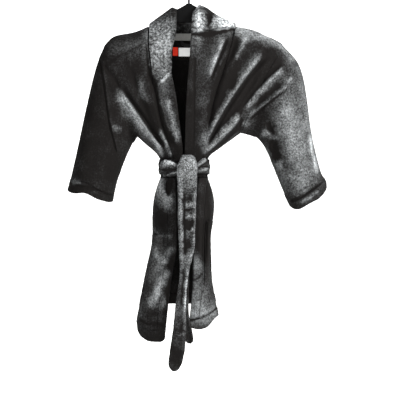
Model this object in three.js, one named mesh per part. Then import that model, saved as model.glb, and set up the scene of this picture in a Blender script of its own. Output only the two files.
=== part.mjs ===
// A child's hooded bathrobe on its clothes hanger, tied at the waist with a soft belt.
// Millimetres, +Z up, -Y is the front of the robe and +X is the wearer's left.
// The origin is the inner top of the hanger's hook, where a rail carries it.
import * as THREE from 'three';

// ---- cloth ----
const clothThickness = 3;       // one layer of plush cloth
const hemThickness = 4.6;       // cloth turned and stitched down
const bandThickness = 4.6;      // faced edge band
const tapeThickness = 1.2;      // woven tape and labels
const seamGap = 0.6;            // between two pieces sewn edge to edge
const layGap = 0.45;            // between two layers that lie on each other
const hemHeight = 21;           // depth of every turned hem

// ---- hanger ----
const hookWire = 4.4;           // diameter of the hook's wire
const hookInnerRadius = 16;     // a rail up to 32 mm goes in
const hangerTop = -56;          // top of the hanger body at its middle
const hangerThickness = 12;
const hangerNeckHeight = 38;
const hangerArmHeight = 22;
const hangerClearance = 1.8;    // between the hanger and the cloth, along the shoulder line
const hangerRest = hangerClearance + clothThickness;
const hangerTipInset = 15;      // the arm ends this far inside the armhole

// ---- robe, seen from the front ----
const neckCentreX = 6.5;
const neckHalfWidth = 90.5;
const backNeckZ = -112;
const waistTopZ = -377;
const waistBottomZ = -419;
const waistCentreX = -10;
const waistHalfWidth = 45;
const waistHalfDepth = 37;
const chestDepth = 46;          // furthest the front stands before the side seams
const backDepth = 42;
const shoulderRounding = 45;
const armholeFlare = 0.9;       // how fast the body widens into the sleeve above the armpit
const skirtBottomZ = { right: -759, left: -728, back: -688 };
const skirtTopDrop = 3;         // the swinging fronts start this far below the belt

// Each side's own sizes, because the robe hangs a little askew; x is measured outward.
const sides = {
  right: {
    sign: -1, neckZ: -95, tip: [178, -146], armpit: [109, -333],
    sleeveLength: 309, sleeveSplay: 13.9,
    cuffWidth: 94, cuffTilt: 12.3, cuffDip: 8, cuffDepth: 37,
    underarm: [16, -22, 0.32],
    skirtHalfWidth: [[0, 52], [0.14, 63], [0.46, 72], [0.77, 91], [0.9, 99], [1, 96]],
  },
  left: {
    sign: 1, neckZ: -106, tip: [190, -141], armpit: [109, -325],
    sleeveLength: 318, sleeveSplay: 16.3,
    cuffWidth: 77, cuffTilt: 11.3, cuffDip: 18, cuffDepth: 37,
    underarm: [66, -6, 0.42],
    skirtHalfWidth: [[0, 50], [0.16, 62], [0.5, 59], [0.63, 52], [0.84, 64], [1, 73]],
  },
};

// ---- front edges: x of the band's inner and outer edge against height ----
const innerEdge = {
  right: [[-124, -29], [-180, -37], [-208, -38], [-252, -27], [-306, -20], [-362, -13], [-415, -12]],
  left: [[-127, 5], [-168, 3], [-209, -1], [-268, -5], [-362, -8], [-415, -8]],
};
const bandEdge = {
  right: [[-95, -84], [-138, -84], [-209, -73], [-247, -67], [-308, -55], [-349, -39], [-384, -28]],
  left: [[-106, 97], [-173, 80], [-232, 59], [-268, 48], [-362, 31], [-384, 25]],
};
const skirtEdge = {
  right: [[-419, -28], [-572, -25], [-625, -37], [-688, -44], [-759, -50]],
  left: [[-419, 20], [-480, 15], [-560, 11], [-650, 9], [-735, 0]],
};
const collarSeamZ = { right: -214, left: [-127, -106] };
const skirtBandWidth = 16;

// ---- belt ----
const beltThickness = 5;
const beltHeight = 27;
const beltClearance = 0.5;      // belt over robe, and loop over belt
const beltGapHalfAngle = 0.3;   // radians left open in front, behind the knot
const beltBow = 2;              // how much fuller the belt is along its middle
const beltLoopThickness = 1.8;
const beltLoopWidth = 16;
const beltLoopHeight = 40;
const knotSize = [52, 30, 36];
const knotTuck = 0.9;           // how far the knot sinks between the belt's ends
const knotCentreX = -4;
const tailDrop = 0.75;          // from the knot's underside to the top of each tail
const tailTuck = 12;            // how far a tail's top is tucked back under the knot
const tailTuckHeight = 26;      // and the height over which it comes forward
// A tail's middle x and its width against the share of the way down, as it hangs folded.
const longTail = {
  length: 405, thickness: 5, standoff: 12.5,
  middle: [[0, -3], [0.37, -2], [0.52, -9], [0.64, -14], [0.78, -19], [0.9, -22], [1, -28]],
  width: [[0, 37], [0.37, 33], [0.52, 17], [0.64, 21], [0.78, 27], [0.9, 30], [1, 17]],
};
const shortTail = {
  length: 350, thickness: 4, standoff: 3.5,
  middle: [[0, 0], [0.4, -2], [0.56, -8], [0.84, -9], [0.93, -1], [1, 2]],
  width: [[0, 30], [0.4, 24], [0.56, 13], [0.84, 13], [0.93, 15], [1, 14]],
};

// ---- hood and collars ----
const hoodDrop = 190;           // depth of the hood's pouch down the back
const hoodReach = 92;           // how far its rim stands behind the shoulder line
const hoodRimZ = -138;
const hoodStandZ = -95;         // top of the hood's fold behind the neck
const hoodPivotY = 5;
const hoodHemHeight = 15;
const hoodHemThickness = 3.6;
const hoodHemGap = 1.2;
const hoodHemEnd = 0.16;        // the share of the rim left plain at each end
const hoodEndInset = 7;
const hoodEndDepth = 22;
const hoodLay = 1.35;           // the hood's cloth over the back, which both bend
const hoodEndLay = 0.04 * hoodDrop; // and further out where it comes round the neck
const hoodRows = [0, 0.03, 0.07, 0.13, 0.22, 0.33, 0.45, 0.56, 0.68, 0.8, 0.9, 1];
const rightRidge = [[0, -70], [0.16, -66], [0.55, -78], [1, -90]];
const leftRidge = [[0, -75], [0.16, -59], [0.36, -70], [0.6, -84], [1, -98]];

// ---- pockets, label, tape and loop ----
const pocketShare = { right: [0.12, 0.84], left: [0.12, 0.86] };
const pocketMouthZ = { right: -541, left: -512 };
const pocketHeight = { right: 112, left: 108 };
const pocketBulge = 12;
const pocketClearance = 0.14 * clothThickness;
const pocketHemHeight = 15;
const tapeHeight = 14;
const tapeHalfLength = 58;
const label = { centreX: -2, halfWidth: 20, topZ: -140, height: 17 };
const sizeTab = { centreX: -28.5, halfWidth: 4.8, topZ: -139, height: 17 };
const hangLoop = { halfSpan: 21, drop: 12, tapeWidth: 5, thickness: 1.6 };

const lerp = THREE.MathUtils.lerp;
const clamp = THREE.MathUtils.clamp;
const degrees = THREE.MathUtils.degToRad;

/** Value at a place in a list of [place, value] pairs, with a straight run between them. */
function along(list, place) {
  const rising = list[list.length - 1][0] > list[0][0];
  const ordered = rising ? list : [...list].reverse();
  const at = clamp(place, ordered[0][0], ordered[ordered.length - 1][0]);
  const next = Math.max(1, ordered.findIndex(([p]) => p >= at));
  const [p0, v0] = ordered[next - 1];
  const [p1, v1] = ordered[next];
  return lerp(v0, v1, (at - p0) / (p1 - p0));
}

// ---- the robe's body as a height field: y is worked out from x and z ----

const sideOf = (x) => (x < waistCentreX ? sides.right : sides.left);
const tipOf = (side) => ({ x: side.sign * side.tip[0], z: side.tip[1] });
const armpitOf = (side) => ({ x: side.sign * side.armpit[0], z: side.armpit[1] });
const neckX = (side) => neckCentreX + side.sign * neckHalfWidth;

/** Height of the shoulder line, which is carried on as a low arch over the neck opening. */
function shoulderZ(x) {
  const right = neckX(sides.right);
  const left = neckX(sides.left);
  if (x > right && x < left) {
    const share = (x - right) / (left - right);
    return lerp(sides.right.neckZ, sides.left.neckZ, share) + 25 * Math.sin(Math.PI * share);
  }
  const side = x <= right ? sides.right : sides.left;
  const tip = tipOf(side);
  const share = clamp((x - neckX(side)) / (tip.x - neckX(side)), 0, 1);
  const fall = 0.62 * share ** 1.3 + 0.38 * share ** 8;
  return lerp(side.neckZ, tip.z, fall);
}

/** Half width of one side of the body, from the waist's centre line to its side. */
function bodySide(side, z) {
  const armpit = armpitOf(side);
  const waistX = waistCentreX + side.sign * waistHalfWidth;
  if (z >= armpit.z) return armpit.x + side.sign * armholeFlare * (z - armpit.z);
  if (z >= waistTopZ) return lerp(waistX, armpit.x, (z - waistTopZ) / (armpit.z - waistTopZ));
  if (z >= waistBottomZ) return waistX;
  const bottom = side.sign < 0 ? skirtBottomZ.right : skirtBottomZ.left;
  const share = (waistBottomZ - z) / (waistBottomZ - bottom);
  const flare = along(side.skirtHalfWidth, share);
  const blend = clamp(share / 0.02, 0, 1);
  return waistCentreX + side.sign * lerp(waistHalfWidth, flare, blend);
}

/** How far the cloth stands from the plane of the side seams, at the front or at the back. */
function bodyDepth(x, z, atFront) {
  const full = atFront ? chestDepth : backDepth;
  const skirtShare = clamp((waistBottomZ - z) / 330, 0, 1);
  const waistShare = clamp((armpitOf(sides.right).z - z) / (armpitOf(sides.right).z - waistTopZ), 0, 1);
  const waistDepth = waistHalfDepth + 9 * skirtShare;
  const deepest = lerp(full, waistDepth, waistShare);
  const side = sideOf(x);
  const across = clamp((x - waistCentreX) / (bodySide(side, z) - waistCentreX), -1, 1);
  const down = clamp((shoulderZ(x) - z) / shoulderRounding, 0, 1);
  const rounding = Math.sqrt(1 - (1 - down) ** 2);
  return deepest * rounding * Math.sqrt(Math.max(0, 1 - across ** 2));
}

const onFront = (x, z, lift = 0) => new THREE.Vector3(x, -bodyDepth(x, z, true) - lift, z);
const onBack = (x, z, lift = 0) => new THREE.Vector3(x, bodyDepth(x, z, false) + lift, z);

/** Outward distance of a point from the plane of one side's armhole. */
function pastArmhole(side, point) {
  const tip = tipOf(side);
  const armpit = armpitOf(side);
  const run = Math.hypot(armpit.x - tip.x, armpit.z - tip.z);
  const nx = side.sign * Math.abs(armpit.z - tip.z) / run;
  const nz = -Math.abs(armpit.x - tip.x) / run;
  return { distance: (point.x - tip.x) * nx + (point.z - tip.z) * nz, nx, nz };
}

/** Keeps a vertex of a body panel on its own side of the side seams and the armholes. */
function keepInBody(atFront) {
  return (point) => {
    point.y = atFront ? Math.min(point.y, -seamGap / 2) : Math.max(point.y, seamGap / 2);
    const side = point.x < 0 ? sides.right : sides.left;
    const past = pastArmhole(side, point);
    if (point.z > armpitOf(side).z - 8 && past.distance > -seamGap / 2) {
      point.x -= (past.distance + seamGap / 2) * past.nx;
      point.z -= (past.distance + seamGap / 2) * past.nz;
    }
    return point;
  };
}

/** Keeps a vertex of a sleeve outside its armhole. */
function keepInSleeve(side) {
  return (point) => {
    const past = pastArmhole(side, point);
    if (past.distance < seamGap / 2) {
      point.x += (seamGap / 2 - past.distance) * past.nx;
      point.z += (seamGap / 2 - past.distance) * past.nz;
    }
    return point;
  };
}

// ---- closed solids from surfaces ----

/** Unit normals of a grid of points; a closed grid wraps round in its first direction. */
function gridNormals(grid, closed) {
  const last = grid.length - 1;
  const step = (i, by) => (closed ? (i + by + grid.length) % grid.length : clamp(i + by, 0, last));
  return grid.map((row, i) => row.map((_, j) => {
    const across = grid[step(i, 1)][j].clone().sub(grid[step(i, -1)][j]);
    const down = row[Math.min(j + 1, row.length - 1)].clone().sub(row[Math.max(j - 1, 0)]);
    return across.cross(down).normalize();
  }));
}

/** One closed solid of even thickness about a grid of points. */
function clothSolid(grid, thickness, { closed = false, keep = (point) => point } = {}) {
  const normals = gridNormals(grid, closed);
  const rows = grid.length;
  const columns = grid[0].length;
  const positions = [];
  for (const face of [0.5, -0.5]) {
    for (let i = 0; i < rows; i += 1) {
      for (let j = 0; j < columns; j += 1) {
        const point = grid[i][j].clone().addScaledVector(normals[i][j], face * thickness);
        positions.push(...keep(point).toArray());
      }
    }
  }
  const outer = (i, j) => (i % rows) * columns + j;
  const inner = (i, j) => rows * columns + outer(i, j);
  const index = [];
  const quad = (a, b, c, d) => index.push(a, b, c, a, c, d);
  const spans = closed ? rows : rows - 1;
  for (let i = 0; i < spans; i += 1) {
    for (let j = 0; j < columns - 1; j += 1) {
      quad(outer(i, j), outer(i + 1, j), outer(i + 1, j + 1), outer(i, j + 1));
      quad(inner(i, j), inner(i, j + 1), inner(i + 1, j + 1), inner(i + 1, j));
    }
    quad(outer(i, 0), inner(i, 0), inner(i + 1, 0), outer(i + 1, 0));
    const end = columns - 1;
    quad(outer(i, end), outer(i + 1, end), inner(i + 1, end), inner(i, end));
  }
  if (!closed) {
    for (let j = 0; j < columns - 1; j += 1) {
      quad(outer(0, j), outer(0, j + 1), inner(0, j + 1), inner(0, j));
      quad(outer(rows - 1, j), inner(rows - 1, j), inner(rows - 1, j + 1), outer(rows - 1, j + 1));
    }
  }
  const geometry = new THREE.BufferGeometry();
  geometry.setAttribute('position', new THREE.Float32BufferAttribute(positions, 3));
  geometry.setIndex(facingOut(positions, index));
  return geometry;
}

/** The same triangles, turned so that they face outward. */
function facingOut(positions, index) {
  const corner = (k) => new THREE.Vector3().fromArray(positions, 3 * index[k]);
  let volume = 0;
  for (let k = 0; k < index.length; k += 3) {
    volume += corner(k).dot(corner(k + 1).cross(corner(k + 2)));
  }
  if (volume >= 0) return index;
  const turned = [];
  for (let k = 0; k < index.length; k += 3) turned.push(index[k], index[k + 2], index[k + 1]);
  return turned;
}

/** A grid of points from a function of two shares that run from 0 to 1; rows is a count or a list. */
function gridOf(columns, rows, pointAt, { closed = false } = {}) {
  const shares = Array.isArray(rows) ? rows : Array.from({ length: rows + 1 }, (_, j) => j / rows);
  const count = closed ? columns : columns + 1;
  return Array.from({ length: count }, (_, i) => shares.map((share) => pointAt(i / columns, share)));
}

// ---- materials ----

const plush = (name, color) => new THREE.MeshStandardMaterial({ name, color, roughness: 0.95, metalness: 0 });
const materials = {
  robe: plush('robe cloth', 0x3a3a3c),
  hem: plush('turned hems', 0x434345),
  band: plush('edge bands', 0x4c4c4f),
  belt: plush('belt', 0x5a5b5e),
  hood: plush('hood', 0x46474a),
  tape: new THREE.MeshStandardMaterial({ name: 'neck tape', color: 0x8a8a88, roughness: 0.8, metalness: 0 }),
  loop: new THREE.MeshStandardMaterial({ name: 'hanging loop', color: 0x141416, roughness: 0.85, metalness: 0 }),
  label: new THREE.MeshStandardMaterial({ name: 'label', color: 0xf2f2f0, roughness: 0.6, metalness: 0 }),
  tab: new THREE.MeshStandardMaterial({ name: 'size tab', color: 0xd9412f, roughness: 0.6, metalness: 0 }),
  plastic: new THREE.MeshStandardMaterial({ name: 'hanger', color: 0x101011, roughness: 0.45, metalness: 0 }),
  wire: new THREE.MeshStandardMaterial({ name: 'hook wire', color: 0x2b2b2d, roughness: 0.35, metalness: 0.9 }),
};

const robe = new THREE.Group();

/** Adds one named sub-part to the robe. */
function add(name, geometry, material) {
  const mesh = new THREE.Mesh(geometry, material);
  mesh.name = name;
  robe.add(mesh);
}

// ---- hanger ----

/** The hanger's hook: a stem that turns into most of a circle. */
function hangerHook() {
  const radius = hookInnerRadius + hookWire / 2;
  const centreZ = -hookInnerRadius;
  const route = [new THREE.Vector3(0, 0, hangerTop + 0.3), new THREE.Vector3(0, 0, hangerTop + 9)];
  for (let angle = -65; angle <= 205; angle += 18) {
    const turn = degrees(angle);
    route.push(new THREE.Vector3(radius * Math.cos(turn), 0, centreZ + radius * Math.sin(turn)));
  }
  const section = new THREE.Shape().absarc(0, 0, hookWire / 2, 0, 2 * Math.PI);
  return new THREE.ExtrudeGeometry(section, {
    steps: 26, curveSegments: 4, bevelEnabled: false, extrudePath: new THREE.CatmullRomCurve3(route),
  });
}

/** Top edge of the hanger's body, which carries the robe along both shoulders. */
function hangerEdge(side) {
  const tipX = tipOf(side).x - side.sign * hangerTipInset;
  const points = [];
  for (let step = 0; step <= 8; step += 1) {
    const x = lerp(neckX(side), tipX, step / 8);
    points.push(new THREE.Vector2(x, shoulderZ(x) - hangerRest));
  }
  return points;
}

/** The hanger's body: a flat yoke with two arms that follow the shoulders. */
function hangerBody() {
  const right = hangerEdge(sides.right).reverse();
  const left = hangerEdge(sides.left);
  const middle = [
    new THREE.Vector2(-29, hangerTop - 14), new THREE.Vector2(-8, hangerTop - 3),
    new THREE.Vector2(-5, hangerTop), new THREE.Vector2(5, hangerTop),
    new THREE.Vector2(8, hangerTop - 3), new THREE.Vector2(29, hangerTop - 14),
  ];
  const underside = [...left].reverse().concat([...right].reverse()).map((point, at, all) => {
    const share = 1 - Math.abs(at / (all.length - 1) * 2 - 1);
    const taper = at === 0 || at === all.length - 1 ? 0.55 : 1;
    return new THREE.Vector2(point.x, point.y - hangerArmHeight * taper * (1 + 0.2 * share));
  });
  const half = left.length;
  const yokeZ = hangerTop - hangerNeckHeight;
  const yoke = [new THREE.Vector2(34, yokeZ), new THREE.Vector2(-34, yokeZ)];
  const outline = [
    ...right, ...middle, ...left, ...underside.slice(0, half), ...yoke, ...underside.slice(half),
  ];
  const plate = new THREE.ExtrudeGeometry(new THREE.Shape(outline), {
    depth: hangerThickness, bevelEnabled: false,
  });
  plate.rotateX(Math.PI / 2);
  plate.translate(0, hangerThickness / 2, 0);
  return plate;
}

// ---- body panels ----

// Rows of a body panel from the shoulder to the waist: close together where the shoulder rounds over.
const armholeShare = 0.62;
const beltShare = 0.9;
const bodyRows = [0, 0.012, 0.04, 0.09, 0.17, 0.28, 0.4, 0.52, armholeShare, 0.76, beltShare, 1];
const bandRows = [0, 0.1, 0.2, 0.3, 0.4, 0.5, 0.6, 0.7, 0.8, beltShare, 1];
/** Height of a row that starts somewhere above and ends at the foot of the belt. */
function toWaist(topZ, share) {
  if (share <= beltShare) return lerp(topZ, waistTopZ, share / beltShare);
  return lerp(waistTopZ, waistBottomZ, (share - beltShare) / (1 - beltShare));
}

/** Outer edge of a front or back panel: armhole, side seam, and the stretch under the belt. */
function outerEdge(side, share) {
  const tip = tipOf(side);
  const armpit = armpitOf(side);
  if (share <= armholeShare) {
    const part = (1 - Math.cos(Math.PI * share / armholeShare)) / 2;
    return [lerp(tip.x, armpit.x, part), lerp(tip.z, armpit.z, part)];
  }
  if (share <= beltShare) {
    const z = lerp(armpit.z, waistTopZ, (share - armholeShare) / (beltShare - armholeShare));
    return [bodySide(side, z), z];
  }
  const z = lerp(waistTopZ, waistBottomZ, (share - beltShare) / (1 - beltShare));
  return [bodySide(side, z), z];
}

/** A front from the shoulder to the waist, between its band and its armhole and side seam. */
function frontBodice(name) {
  const side = sides[name];
  const startX = neckX(side);
  const pointAt = (u, t) => {
    const [outX, outZ] = outerEdge(side, t);
    const inZ = toWaist(side.neckZ, t);
    const inX = along(bandEdge[name], inZ) + side.sign * 3.5 * seamGap;
    const x = lerp(inX, outX, u);
    const straight = lerp(side.neckZ, tipOf(side).z, u);
    const atTop = shoulderZ(lerp(startX, tipOf(side).x, u));
    const z = lerp(inZ, outZ, u) + (atTop - straight) * (1 - t) ** 3;
    return onFront(x, z);
  };
  return clothSolid(gridOf(7, bodyRows, pointAt), clothThickness, { keep: keepInBody(true) });
}

/** The whole back, from the shoulders and the neck down to its hem. */
function backPanel() {
  const shoulders = (u) => {
    const x = lerp(tipOf(sides.right).x, tipOf(sides.left).x, u);
    const dip = clamp(1 - Math.abs(x - neckCentreX) / neckHalfWidth, 0, 1);
    const neck = Math.min(shoulderZ(x), lerp(shoulderZ(x), backNeckZ, Math.min(1, dip * 5)));
    return dip > 0 ? neck : shoulderZ(x);
  };
  const upper = (u, t) => {
    const [rightX, rightZ] = outerEdge(sides.right, t);
    const [leftX, leftZ] = outerEdge(sides.left, t);
    const straight = lerp(tipOf(sides.right).z, tipOf(sides.left).z, u);
    const z = lerp(rightZ, leftZ, u) + (shoulders(u) - straight) * (1 - t) ** 3;
    return onBack(lerp(rightX, leftX, u), z);
  };
  const lower = (u, t) => {
    const z = lerp(waistBottomZ, skirtBottomZ.back + hemHeight, t);
    return onBack(lerp(bodySide(sides.right, z), bodySide(sides.left, z), u), z);
  };
  const top = gridOf(20, bodyRows, upper);
  const bottom = gridOf(20, 6, lower);
  const grid = top.map((row, i) => row.concat(bottom[i].slice(1)));
  return clothSolid(grid, clothThickness, { keep: keepInBody(false) });
}

/** A strip that carries a skirt panel on past its lower edge. */
function hemStrip(columns, edges, topZ, bottomZ, onFace, atFront) {
  const pointAt = (u, t) => {
    const z = lerp(topZ, bottomZ, t) - seamGap;
    const [fromX, toX] = edges(z);
    return onFace(lerp(fromX, toX, u), z);
  };
  return clothSolid(gridOf(columns, 2, pointAt), hemThickness, { keep: keepInBody(atFront) });
}

/** Inner and outer x of a skirt front at a height, with its edge band left out or not. */
function frontSkirtEdges(name, withBand) {
  const side = sides[name];
  const bandShare = withBand ? skirtBandWidth + 3 * seamGap : 0;
  return (z) => [along(skirtEdge[name], z) + side.sign * bandShare, bodySide(side, z)];
}

/** The front of the skirt on one side, between its edge band and its side seam. */
function frontSkirt(name) {
  const edges = frontSkirtEdges(name, true);
  const pointAt = (u, t) => {
    const z = lerp(waistBottomZ - skirtTopDrop, skirtBottomZ[name] + hemHeight, t);
    const [fromX, toX] = edges(z);
    return onFront(lerp(fromX, toX, u ** 0.75), z);
  };
  return clothSolid(gridOf(7, 12, pointAt), clothThickness, { keep: keepInBody(true) });
}

/** The edge band of the skirt, down to the hem. */
function skirtBand(name) {
  const side = sides[name];
  const pointAt = (u, t) => {
    const z = lerp(waistBottomZ - skirtTopDrop, skirtBottomZ[name] + hemHeight, t);
    const fromX = along(skirtEdge[name], z);
    return onFront(fromX + side.sign * skirtBandWidth * u, z);
  };
  return clothSolid(gridOf(2, 12, pointAt), bandThickness, { keep: keepInBody(true) });
}

/** The edge band above the waist, from the collar's seam to the belt. */
function frontBand(name) {
  const pointAt = (u, t) => {
    const topZ = name === 'right' ? collarSeamZ.right : lerp(collarSeamZ.left[0], collarSeamZ.left[1], u);
    const z = toWaist(topZ - seamGap, t);
    return onFront(lerp(along(innerEdge[name], z), along(bandEdge[name], z), u), z);
  };
  return clothSolid(gridOf(4, bandRows, pointAt), bandThickness, { keep: keepInBody(true) });
}

// ---- collars and hood ----

/** The hood's front end on the wearer's right, folded out over the front as a collar. */
function rightCollar() {
  const pointAt = (u, t) => {
    const seamZ = collarSeamZ.right + seamGap / 4;
    const ridgeZ = along(rightRidge, u);
    const rise = Math.sin(t * Math.PI / 2);
    const z = lerp(seamZ, ridgeZ, rise);
    const lower = clamp((z + 138) / (seamZ + 138), 0, 1);
    const x = lerp(lerp(-26, -37, lower), lerp(-81.5, -72, lower), u);
    const back = lerp(-hangerThickness, hoodPivotY - 3, clamp((u - 0.15) * 2.5, 0, 1));
    const foot = -bodyDepth(x, Math.min(z, -125), true) - clothThickness - layGap - 1.5 * (1 - lower);
    return new THREE.Vector3(x, lerp(back, foot, Math.cos(t * Math.PI / 2) ** 0.6), z);
  };
  return clothSolid(gridOf(6, 12, pointAt), clothThickness);
}

/** The hood's front end on the wearer's left, which stands above the neck seam. */
function leftCollar() {
  const pointAt = (u, t) => {
    const seamZ = lerp(collarSeamZ.left[0], collarSeamZ.left[1], u) + seamGap;
    const x = lerp(5, neckX(sides.left) - 1, u) + 6 * (1 - u) * t;
    const z = lerp(seamZ, along(leftRidge, u), Math.sin(t * Math.PI / 2));
    const back = lerp(-hangerThickness, hoodPivotY - 3, clamp((u - 0.15) * 2.5, 0, 1));
    const foot = -bodyDepth(x, seamZ, true) - 1.5;
    return new THREE.Vector3(x, lerp(back, foot, Math.cos(t * Math.PI / 2)), z);
  };
  return clothSolid(gridOf(8, 8, pointAt), clothThickness);
}

/** Where a layer has to stand so that it lies clear of the back, on its slopes too. */
function clearOfBack(x, z, gap) {
  const depth = bodyDepth(x, z, false);
  const slopeX = (bodyDepth(x + 1, z, false) - bodyDepth(x - 1, z, false)) / 2;
  const slopeZ = (bodyDepth(x, z + 1, false) - bodyDepth(x, z - 1, false)) / 2;
  return depth + gap * Math.min(5, Math.hypot(1, slopeX, slopeZ));
}

/** How full the hood is at a share of the way from the right to the left: 0 at its ends, 1 behind. */
const hoodFullness = (u) => Math.sin(Math.PI * Math.sin(Math.PI * u) / 2);
const hoodGirth = (u) => lerp(28, 2 * hoodDrop + 50, hoodFullness(u));
const hoodHemShare = (u) => Math.min(0.3, hoodHemHeight / hoodGirth(u));

/** A point of the hood's pouch: u runs from right to left, t from the neck down, and up to the rim. */
function hoodPoint(u, t) {
  const width = hoodFullness(u);
  const reach = (neckHalfWidth - hoodEndInset) * lerp(1, 0.92, Math.sin(Math.PI * t));
  const x = neckCentreX - reach * Math.cos(Math.PI * u);
  const endZ = lerp(sides.right.neckZ, sides.left.neckZ, u) + clothThickness + 3;
  const startZ = lerp(endZ, hoodStandZ, width);
  const rimZ = lerp(endZ - 6, hoodRimZ, width);
  const drop = lerp(8, hoodDrop, width);
  const z = lerp(startZ, rimZ, t) - drop * Math.sin(Math.PI * t) ** 0.8;
  const startY = lerp(hoodPivotY + 3, backDepth + 2, width);
  const rimY = lerp(hoodPivotY + 34, hoodReach, width);
  const open = THREE.MathUtils.smoothstep(t, 0.1, 0.8);
  const lay = clothThickness + hoodLay + hoodEndLay * (1 - width);
  const clear = clearOfBack(x, z, lay) + hoodEndDepth * open;
  return new THREE.Vector3(x, Math.max(lerp(startY, rimY, open), clear), z);
}

/** One half of the hood, from the neck to its hem. */
function hoodHalf(fromU, toU) {
  const pointAt = (share, t) => {
    const u = lerp(fromU, toU, share);
    return hoodPoint(u, t * (1 - hoodHemShare(u) - hoodHemGap / hoodGirth(u)));
  };
  return clothSolid(gridOf(8, hoodRows, pointAt), clothThickness);
}

/** The hem along the hood's rim, up to where the rim runs into the collars. */
function hoodHem() {
  const pointAt = (share, t) => {
    const u = lerp(hoodHemEnd, 1 - hoodHemEnd, share);
    return hoodPoint(u, lerp(1 - hoodHemShare(u), 1, t));
  };
  return clothSolid(gridOf(16, 2, pointAt), hoodHemThickness);
}

// ---- sleeves ----

/** Upper and under line of a sleeve in the front view, as two curves. */
function sleeveLines(side) {
  const tip = tipOf(side);
  const armpit = armpitOf(side);
  const splay = degrees(side.sleeveSplay);
  const tilt = degrees(side.cuffTilt);
  const cuffX = tip.x + side.sign * side.sleeveLength * Math.sin(splay);
  const cuffZ = tip.z - side.sleeveLength * Math.cos(splay);
  const innerX = cuffX - side.sign * side.cuffWidth * Math.cos(tilt);
  const innerZ = cuffZ - side.cuffWidth * Math.sin(tilt);
  const [outward, downward, lower] = side.underarm;
  const spot = (x, z) => new THREE.Vector2(x, z);
  const upperLine = new THREE.CubicBezierCurve(
    spot(tip.x, tip.z), spot(tip.x + side.sign * 24, tip.z - 40),
    spot(lerp(tip.x, cuffX, 0.6), lerp(tip.z, cuffZ, 0.62)), spot(cuffX, cuffZ),
  );
  const underLine = new THREE.CubicBezierCurve(
    spot(armpit.x, armpit.z), spot(armpit.x + side.sign * outward, armpit.z + downward),
    spot(lerp(innerX, armpit.x, lower), lerp(innerZ, armpit.z, 0.5)), spot(innerX, innerZ),
  );
  return { upperLine, underLine };
}

/** A point of a sleeve: u goes round it from the shoulder over the front, t down to the cuff. */
function sleevePoint(side, u, t) {
  const { upperLine, underLine } = sleeveLines(side);
  const upper = upperLine.getPoint(t);
  const under = underLine.getPoint(t);
  const round = (1 - Math.cos(2 * Math.PI * u)) / 2;
  const swing = Math.sin(2 * Math.PI * u);
  const x = lerp(upper.x, under.x, round);
  const flatZ = lerp(upper.y, under.y, round);
  const fromBody = clamp(1 - t / 0.3, 0, 1) ** 2;
  const depthAtBody = swing === 0 ? 0 : bodyDepth(x, flatZ, swing > 0);
  const depth = lerp(Math.abs(swing) * side.cuffDepth, depthAtBody, fromBody);
  const z = flatZ - side.cuffDip * swing * t ** 3;
  return new THREE.Vector3(x, -Math.sign(swing) * depth - 9 * t, z);
}

/** A stretch of one sleeve as a tube of cloth. */
function sleeveTube(side, fromT, toT, rows, thickness) {
  const pointAt = (u, t) => sleevePoint(side, u, lerp(fromT, toT, t));
  return clothSolid(gridOf(16, rows, pointAt, { closed: true }), thickness,
    { closed: true, keep: keepInSleeve(side) });
}

// ---- belt ----

const beltMidZ = (waistTopZ + waistBottomZ) / 2;
const beltRadiusX = waistHalfWidth + (bandThickness + beltThickness) / 2 + beltClearance;
const beltRadiusY = waistHalfDepth + (bandThickness + beltThickness) / 2 + beltClearance;

/** A place on the belt's oval, by its angle from the front towards the wearer's left. */
function beltPlace(angle, lift, z) {
  return new THREE.Vector3(
    waistCentreX + (beltRadiusX + lift) * Math.sin(angle), -(beltRadiusY + lift) * Math.cos(angle), z,
  );
}

/** The belt round the waist, open in front where the knot joins its ends. */
function beltRing() {
  const pointAt = (u, t) => {
    const angle = lerp(beltGapHalfAngle, 2 * Math.PI - beltGapHalfAngle, u);
    const z = lerp(beltMidZ + beltHeight / 2, beltMidZ - beltHeight / 2, t);
    return beltPlace(angle, beltBow * Math.sin(Math.PI * t), z);
  };
  return clothSolid(gridOf(28, 2, pointAt), beltThickness);
}

// Rows of a belt loop: a foot, a short rise, the long face over the belt, and the same again.
const loopFoot = 0.07;
const loopRows = [0, loopFoot, 2 * loopFoot, 0.5, 1 - 2 * loopFoot, 1 - loopFoot, 1];

/** A carrier at the side seam that the belt runs through. */
function beltLoop(side) {
  const halfAngle = beltLoopWidth / 2 / beltRadiusY;
  const outside = beltBow + (beltThickness + beltLoopThickness) / 2 + beltClearance;
  const foot = waistHalfWidth + (clothThickness + beltLoopThickness) / 2 + layGap - beltRadiusX;
  const middle = side.sign * Math.PI / 2;
  const pointAt = (u, t) => {
    const angle = middle + lerp(-halfAngle, halfAngle, u);
    const bow = clamp(Math.min(t, 1 - t) / loopFoot - 1, 0, 1);
    const z = lerp(beltMidZ + beltLoopHeight / 2, beltMidZ - beltLoopHeight / 2, t);
    return beltPlace(angle, lerp(foot, outside, bow), z);
  };
  return clothSolid(gridOf(2, loopRows, pointAt), beltLoopThickness);
}

const knotCentreY = -(beltRadiusY + beltThickness / 2 + beltClearance + knotSize[1] / 2 - knotTuck);

/** The knot: a full, rounded lump. */
function beltKnot() {
  const ball = new THREE.SphereGeometry(1, 14, 9);
  const place = ball.attributes.position;
  const round = (value) => Math.sign(value) * Math.abs(value) ** 0.75;
  for (let i = 0; i < place.count; i += 1) {
    place.setXYZ(i, round(place.getX(i)), round(place.getY(i)), round(place.getZ(i)));
  }
  ball.rotateX(Math.PI / 2);
  ball.scale(knotSize[0] / 2, knotSize[1] / 2, knotSize[2] / 2);
  ball.translate(knotCentreX, knotCentreY, beltMidZ + 7);
  return ball;
}

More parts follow.
